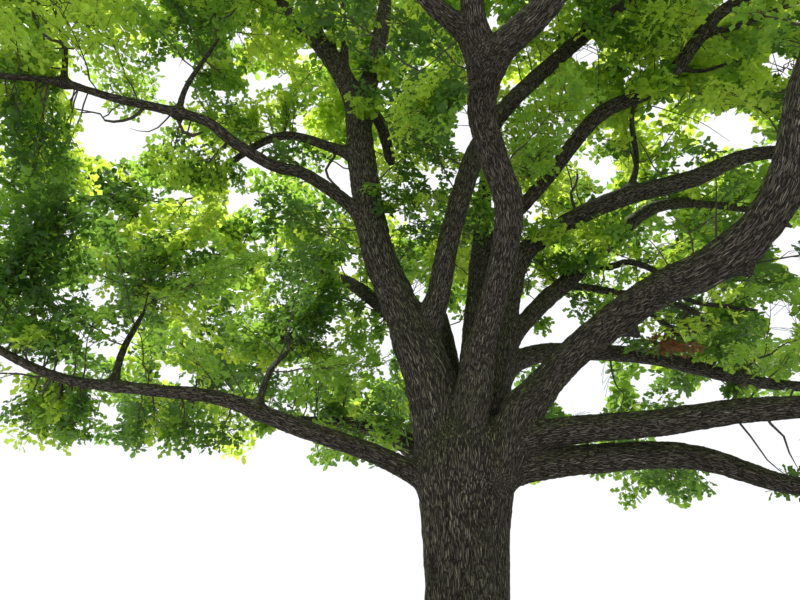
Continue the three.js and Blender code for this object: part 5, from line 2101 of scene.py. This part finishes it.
    def grown(self) -> dict[Zone, Foliage]:
        """Grows all masses, and then what grows beside them."""
        foliage = {zone: Foliage() for zone in Zone}
        self.grow_masses(foliage)
        for number, bough in enumerate(self.boughs.values()):
            self.grow_along(bough, foliage, np.random.default_rng(self.side_seed + number))
        random = np.random.default_rng(self.spot_seed)
        for spots, nearer in ((LEAFY_SPOTS, self.spot_nearer), (FILLED_SPOTS, self.spot_further)):
            for spot in spots.values():
                own = foliage[self.boughs[spot.bough].zone]
                self.dress(self.spot_sprays(spot, nearer, random), own, random)
        for name, middle, half, count in CLOSING_SPRAYS:
            points = self.boughs[name].line.points
            tips = np.array(middle) + random.uniform(-half, half, (count, 3))
            joints = [points[np.argmin(np.linalg.norm(points - tip, axis=1))] for tip in tips]
            sprays = [self.reaching_spray(joint, tip, random) for joint, tip in zip(joints, tips)]
            self.dress(sprays, foliage[self.boughs[name].zone], random)
        for _ in range(DEAD_SPOT.sprays):
            (dead,) = self.spot_sprays(DEAD_SPOT, self.dead_nearer, random, 1)
            SprayGrowth(random, foliage[Zone.RIGHT], dead, Tint.BROWN, self.dead_scale).grow()
        for branch in self.side_branches:
            if branch not in self.limbs:
                foliage[branch.zone].twigs.append((branch.line.points, branch.line.radii, 0, 0))
            self.grow_along(branch, foliage, random)
        return foliage

    def grow_masses(self, foliage: dict[Zone, Foliage]) -> None:
        """Grows all masses, clear of the limbs and of each other."""
        stations = [bough.stations for bough in self.boughs.values()]
        limb_trees = []
        for bough in self.boughs.values():
            sides = 8 if bough.route[0][3] > self.heavy else 6
            limb_trees.append(face_tree(*tube(*bough.stations, sides, (0, -1, 0))))
        stem_trees = []
        for mass in self.masses:
            places, radii = mass.stem
            stem_trees.append(face_tree(*tube(places, radii + mass.stem_room, 4, (0, -1, 0))))
        for mass in self.masses:
            lines = [*stations, *(other.stem for other in self.masses if other is not mass)]
            others = [tree for other, tree in zip(self.masses, stem_trees) if other is not mass]
            mass.grow(self.masses, lines, [*limb_trees, *others])
            random = np.random.default_rng(mass.seed)
            own = foliage[mass.bough.zone]
            own.twigs.append((*mass.stem, 0, 0))
            self.dress([*mass.sprays, *self.finer(mass, random)], own, random)
            LOG.info("%s: %d sprays", mass.name, len(mass.sprays))

    def grow_along(self, bough: Bough, foliage: dict[Zone, Foliage], random: Random) -> None:
        """Grows side sprays along a bough, where they cover nothing that the photograph shows open."""
        sprays = [spray for spray in bough.side_sprays(random, self.side_spacing) if self.fits(spray, random)]
        self.dress(sprays, foliage[bough.zone], random)
        LOG.info("%s: %d side sprays", bough.name, len(sprays))

    def spot_sprays(self, spot: Spot, nearer: tuple, random: Random, count: int | None = None) -> list[Spray]:
        """Sprays from a limb to places that a window of the photograph shows.

        Args:
            spot: The window, with its bough.
            nearer: How much nearer the places lie than the limb, at least and at most.
            random: The seeded source of chance.
            count: How many sprays are made, where it isn't the spot's own number.

        Returns:
            The sprays.
        """
        line = self.boughs[spot.bough].line
        made = []
        for _ in range(spot.sprays if count is None else count):
            across = spot.across + random.uniform(-0.7, 0.7) * spot.half_width
            down = spot.down + random.uniform(-0.7, 0.7) * spot.half_height
            number, ahead = self.studio.nearest(line, across, down)
            tip = self.studio.place(across, down, ahead - random.uniform(*nearer))
            made.append(self.reaching_spray(line.points[number], tip, random))
        return made

    def reaching_spray(self, joint: Array, tip: Array, random: Random) -> Spray:
        """A spray that reaches from a joint to a tip."""
        along = unit(tip - joint)
        length = float(np.linalg.norm(tip - joint))
        root = joint + along * min(0.3 * length, 0.5)
        return Spray(joint, root, tip, tilted(random, 0.5, along), self.twig_radius, 0.6 * length)

    def finer(self, mass: Mass, random: Random) -> list[Spray]:
        """Smaller sprays that fill a mass's inside, from the twigs that it has."""
        sprays = mass.sprays
        joints = [(s.joint + (s.root - s.joint) * share, s.radius) for s in sprays for share in (0.3, 0.7)]
        places, radii = mass.stem
        joints += [(places[1] + (places[2] - places[1]) * share, radii[1]) for share in (0.4, 0.7, 1.0)]
        made = []
        least, most = self.finer_gap
        wanted = self.finer_sprays[int(self.studio.frames(mass.middle[None])[0])]
        for _ in range(wanted * 3):
            if len(made) >= wanted:
                break
            direction = unit(random.normal(size=3))
            tip = mass.middle + mass.half * direction * random.uniform(0.35, 0.85)
            gaps = [float(np.linalg.norm(at - tip)) for at, _ in joints]
            order = [i for i in np.argsort(gaps) if least < gaps[i] < most]
            if not order:
                continue
            joint, radius = joints[order[0]]
            along = unit(tip - joint)
            length = min(0.8 * gaps[order[0]], 1.6)
            flat = tilted(random, 0.5, along)
            spray = Spray(joint, tip - along * length, tip, flat, min(radius, 0.02), length * 0.75)
            if mass.owns(np.array((tip, spray.root)), self.masses).all():
                made.append(spray)
        return made

    def fits(self, spray: Spray, random: Random) -> bool:
        """True where a side spray covers nothing that the photograph shows open."""
        ends = np.array((spray.root, spray.tip))
        framed = self.studio.frames(ends).any() or random.random() < self.unseen_share
        return framed and not self.studio.open_in_photo(ends, self.shown).any()

    def dress(self, sprays: list[Spray], foliage: Foliage, random: Random) -> None:
        """Grows sprays, each with leaves of one tint, darker low in the crown as painted shade and lighter
        high up as painted light.
        """
        for spray in sprays:
            # Painted light and shade: the tint's chances slide from the shaded low mix to the lit high mix
            # with height.
            height = float(np.interp(spray.root[2], self.tint_heights, (0, 1)))
            shares = np.array(self.low_tints) * (1 - height) + np.array(self.high_tints) * height
            tint = random.choice(list(Tint), p=shares)
            far = float(np.linalg.norm(spray.root - self.studio.eye))
            scale = float(np.interp(far, self.leaf_distances, self.leaf_scales))
            SprayGrowth(random, foliage, spray, tint, scale).grow()

    def build_crown(self) -> None:
        """Makes the twigs and leaves zone by zone."""
        twig_material = TwigFinish().material()
        setter = LeafSetter()
        for i, (zone, grown) in enumerate(self.grown().items()):
            own = [mass.name for mass in self.masses if mass.bough.zone is zone]
            grown.thin_out(self.kept(np.array([rosette[0] for rosette in grown.rosettes])), self.studio)
            piece = mesh_object(f"{zone.label}_twigs", *grown.mesh())
            piece.data.materials.append(twig_material)
            self.finish(piece, "bark", own)
            for k, tint in enumerate(Tint):
                chosen = [rosette[:3] for rosette in grown.rosettes if rosette[3] is tint]
                if chosen:
                    rosettes = tuple(np.array(values) for values in zip(*chosen))
                    far = np.linalg.norm(rosettes[0] - self.studio.eye, axis=1) > self.lobed_reach
                    far |= ~self.studio.frames(rosettes[0])
                    name = f"{zone.label}_{tint.value.name}_leaves"
                    self.finish(setter.leaves(name, rosettes, far, tint, 10 * i + k), "leaves", own)
        setter.clear()

    def kept(self, places: Array) -> Array:
        """True for each rosette that stands clear of the wood and of the sky's gaps."""
        found = self.skin.measure(places)
        low, high = self.box
        inside = ((places > low - self.overhang) & (places < high + self.overhang)).all(1)
        return inside & (found["distance"] > self.leaf_room) & ~self.studio.open_in_photo(places, self.shown)


def flat_cut(piece: Piece) -> None:
    """Cuts the trunk flat at the ground and closes the cut."""
    work = bmesh.new()
    work.from_mesh(piece.data)
    everything = [*work.verts, *work.edges, *work.faces]
    cut = bmesh.ops.bisect_plane(
        work, geom=everything, plane_co=(0, 0, 0), plane_no=(0, 0, 1), clear_inner=True
    )["geom_cut"]
    rim = [each for each in cut if isinstance(each, bmesh.types.BMEdge)]
    bmesh.ops.edgeloop_fill(work, edges=rim)
    work.to_mesh(piece.data)
    work.free()


def main() -> None:
    """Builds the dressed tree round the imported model, piece by piece."""
    logging.basicConfig(level=logging.INFO, format="%(relativeCreated)d %(message)s")
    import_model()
    cad_box = [list(corner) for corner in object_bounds()]
    studio = Studio()
    studio.camera()
    studio.light()
    studio.floor()
    oak = Oak(studio, tuple(np.array(corner) for corner in cad_box))
    oak.build_wood()
    oak.build_crown()


if __name__ == "__main__":
    main()
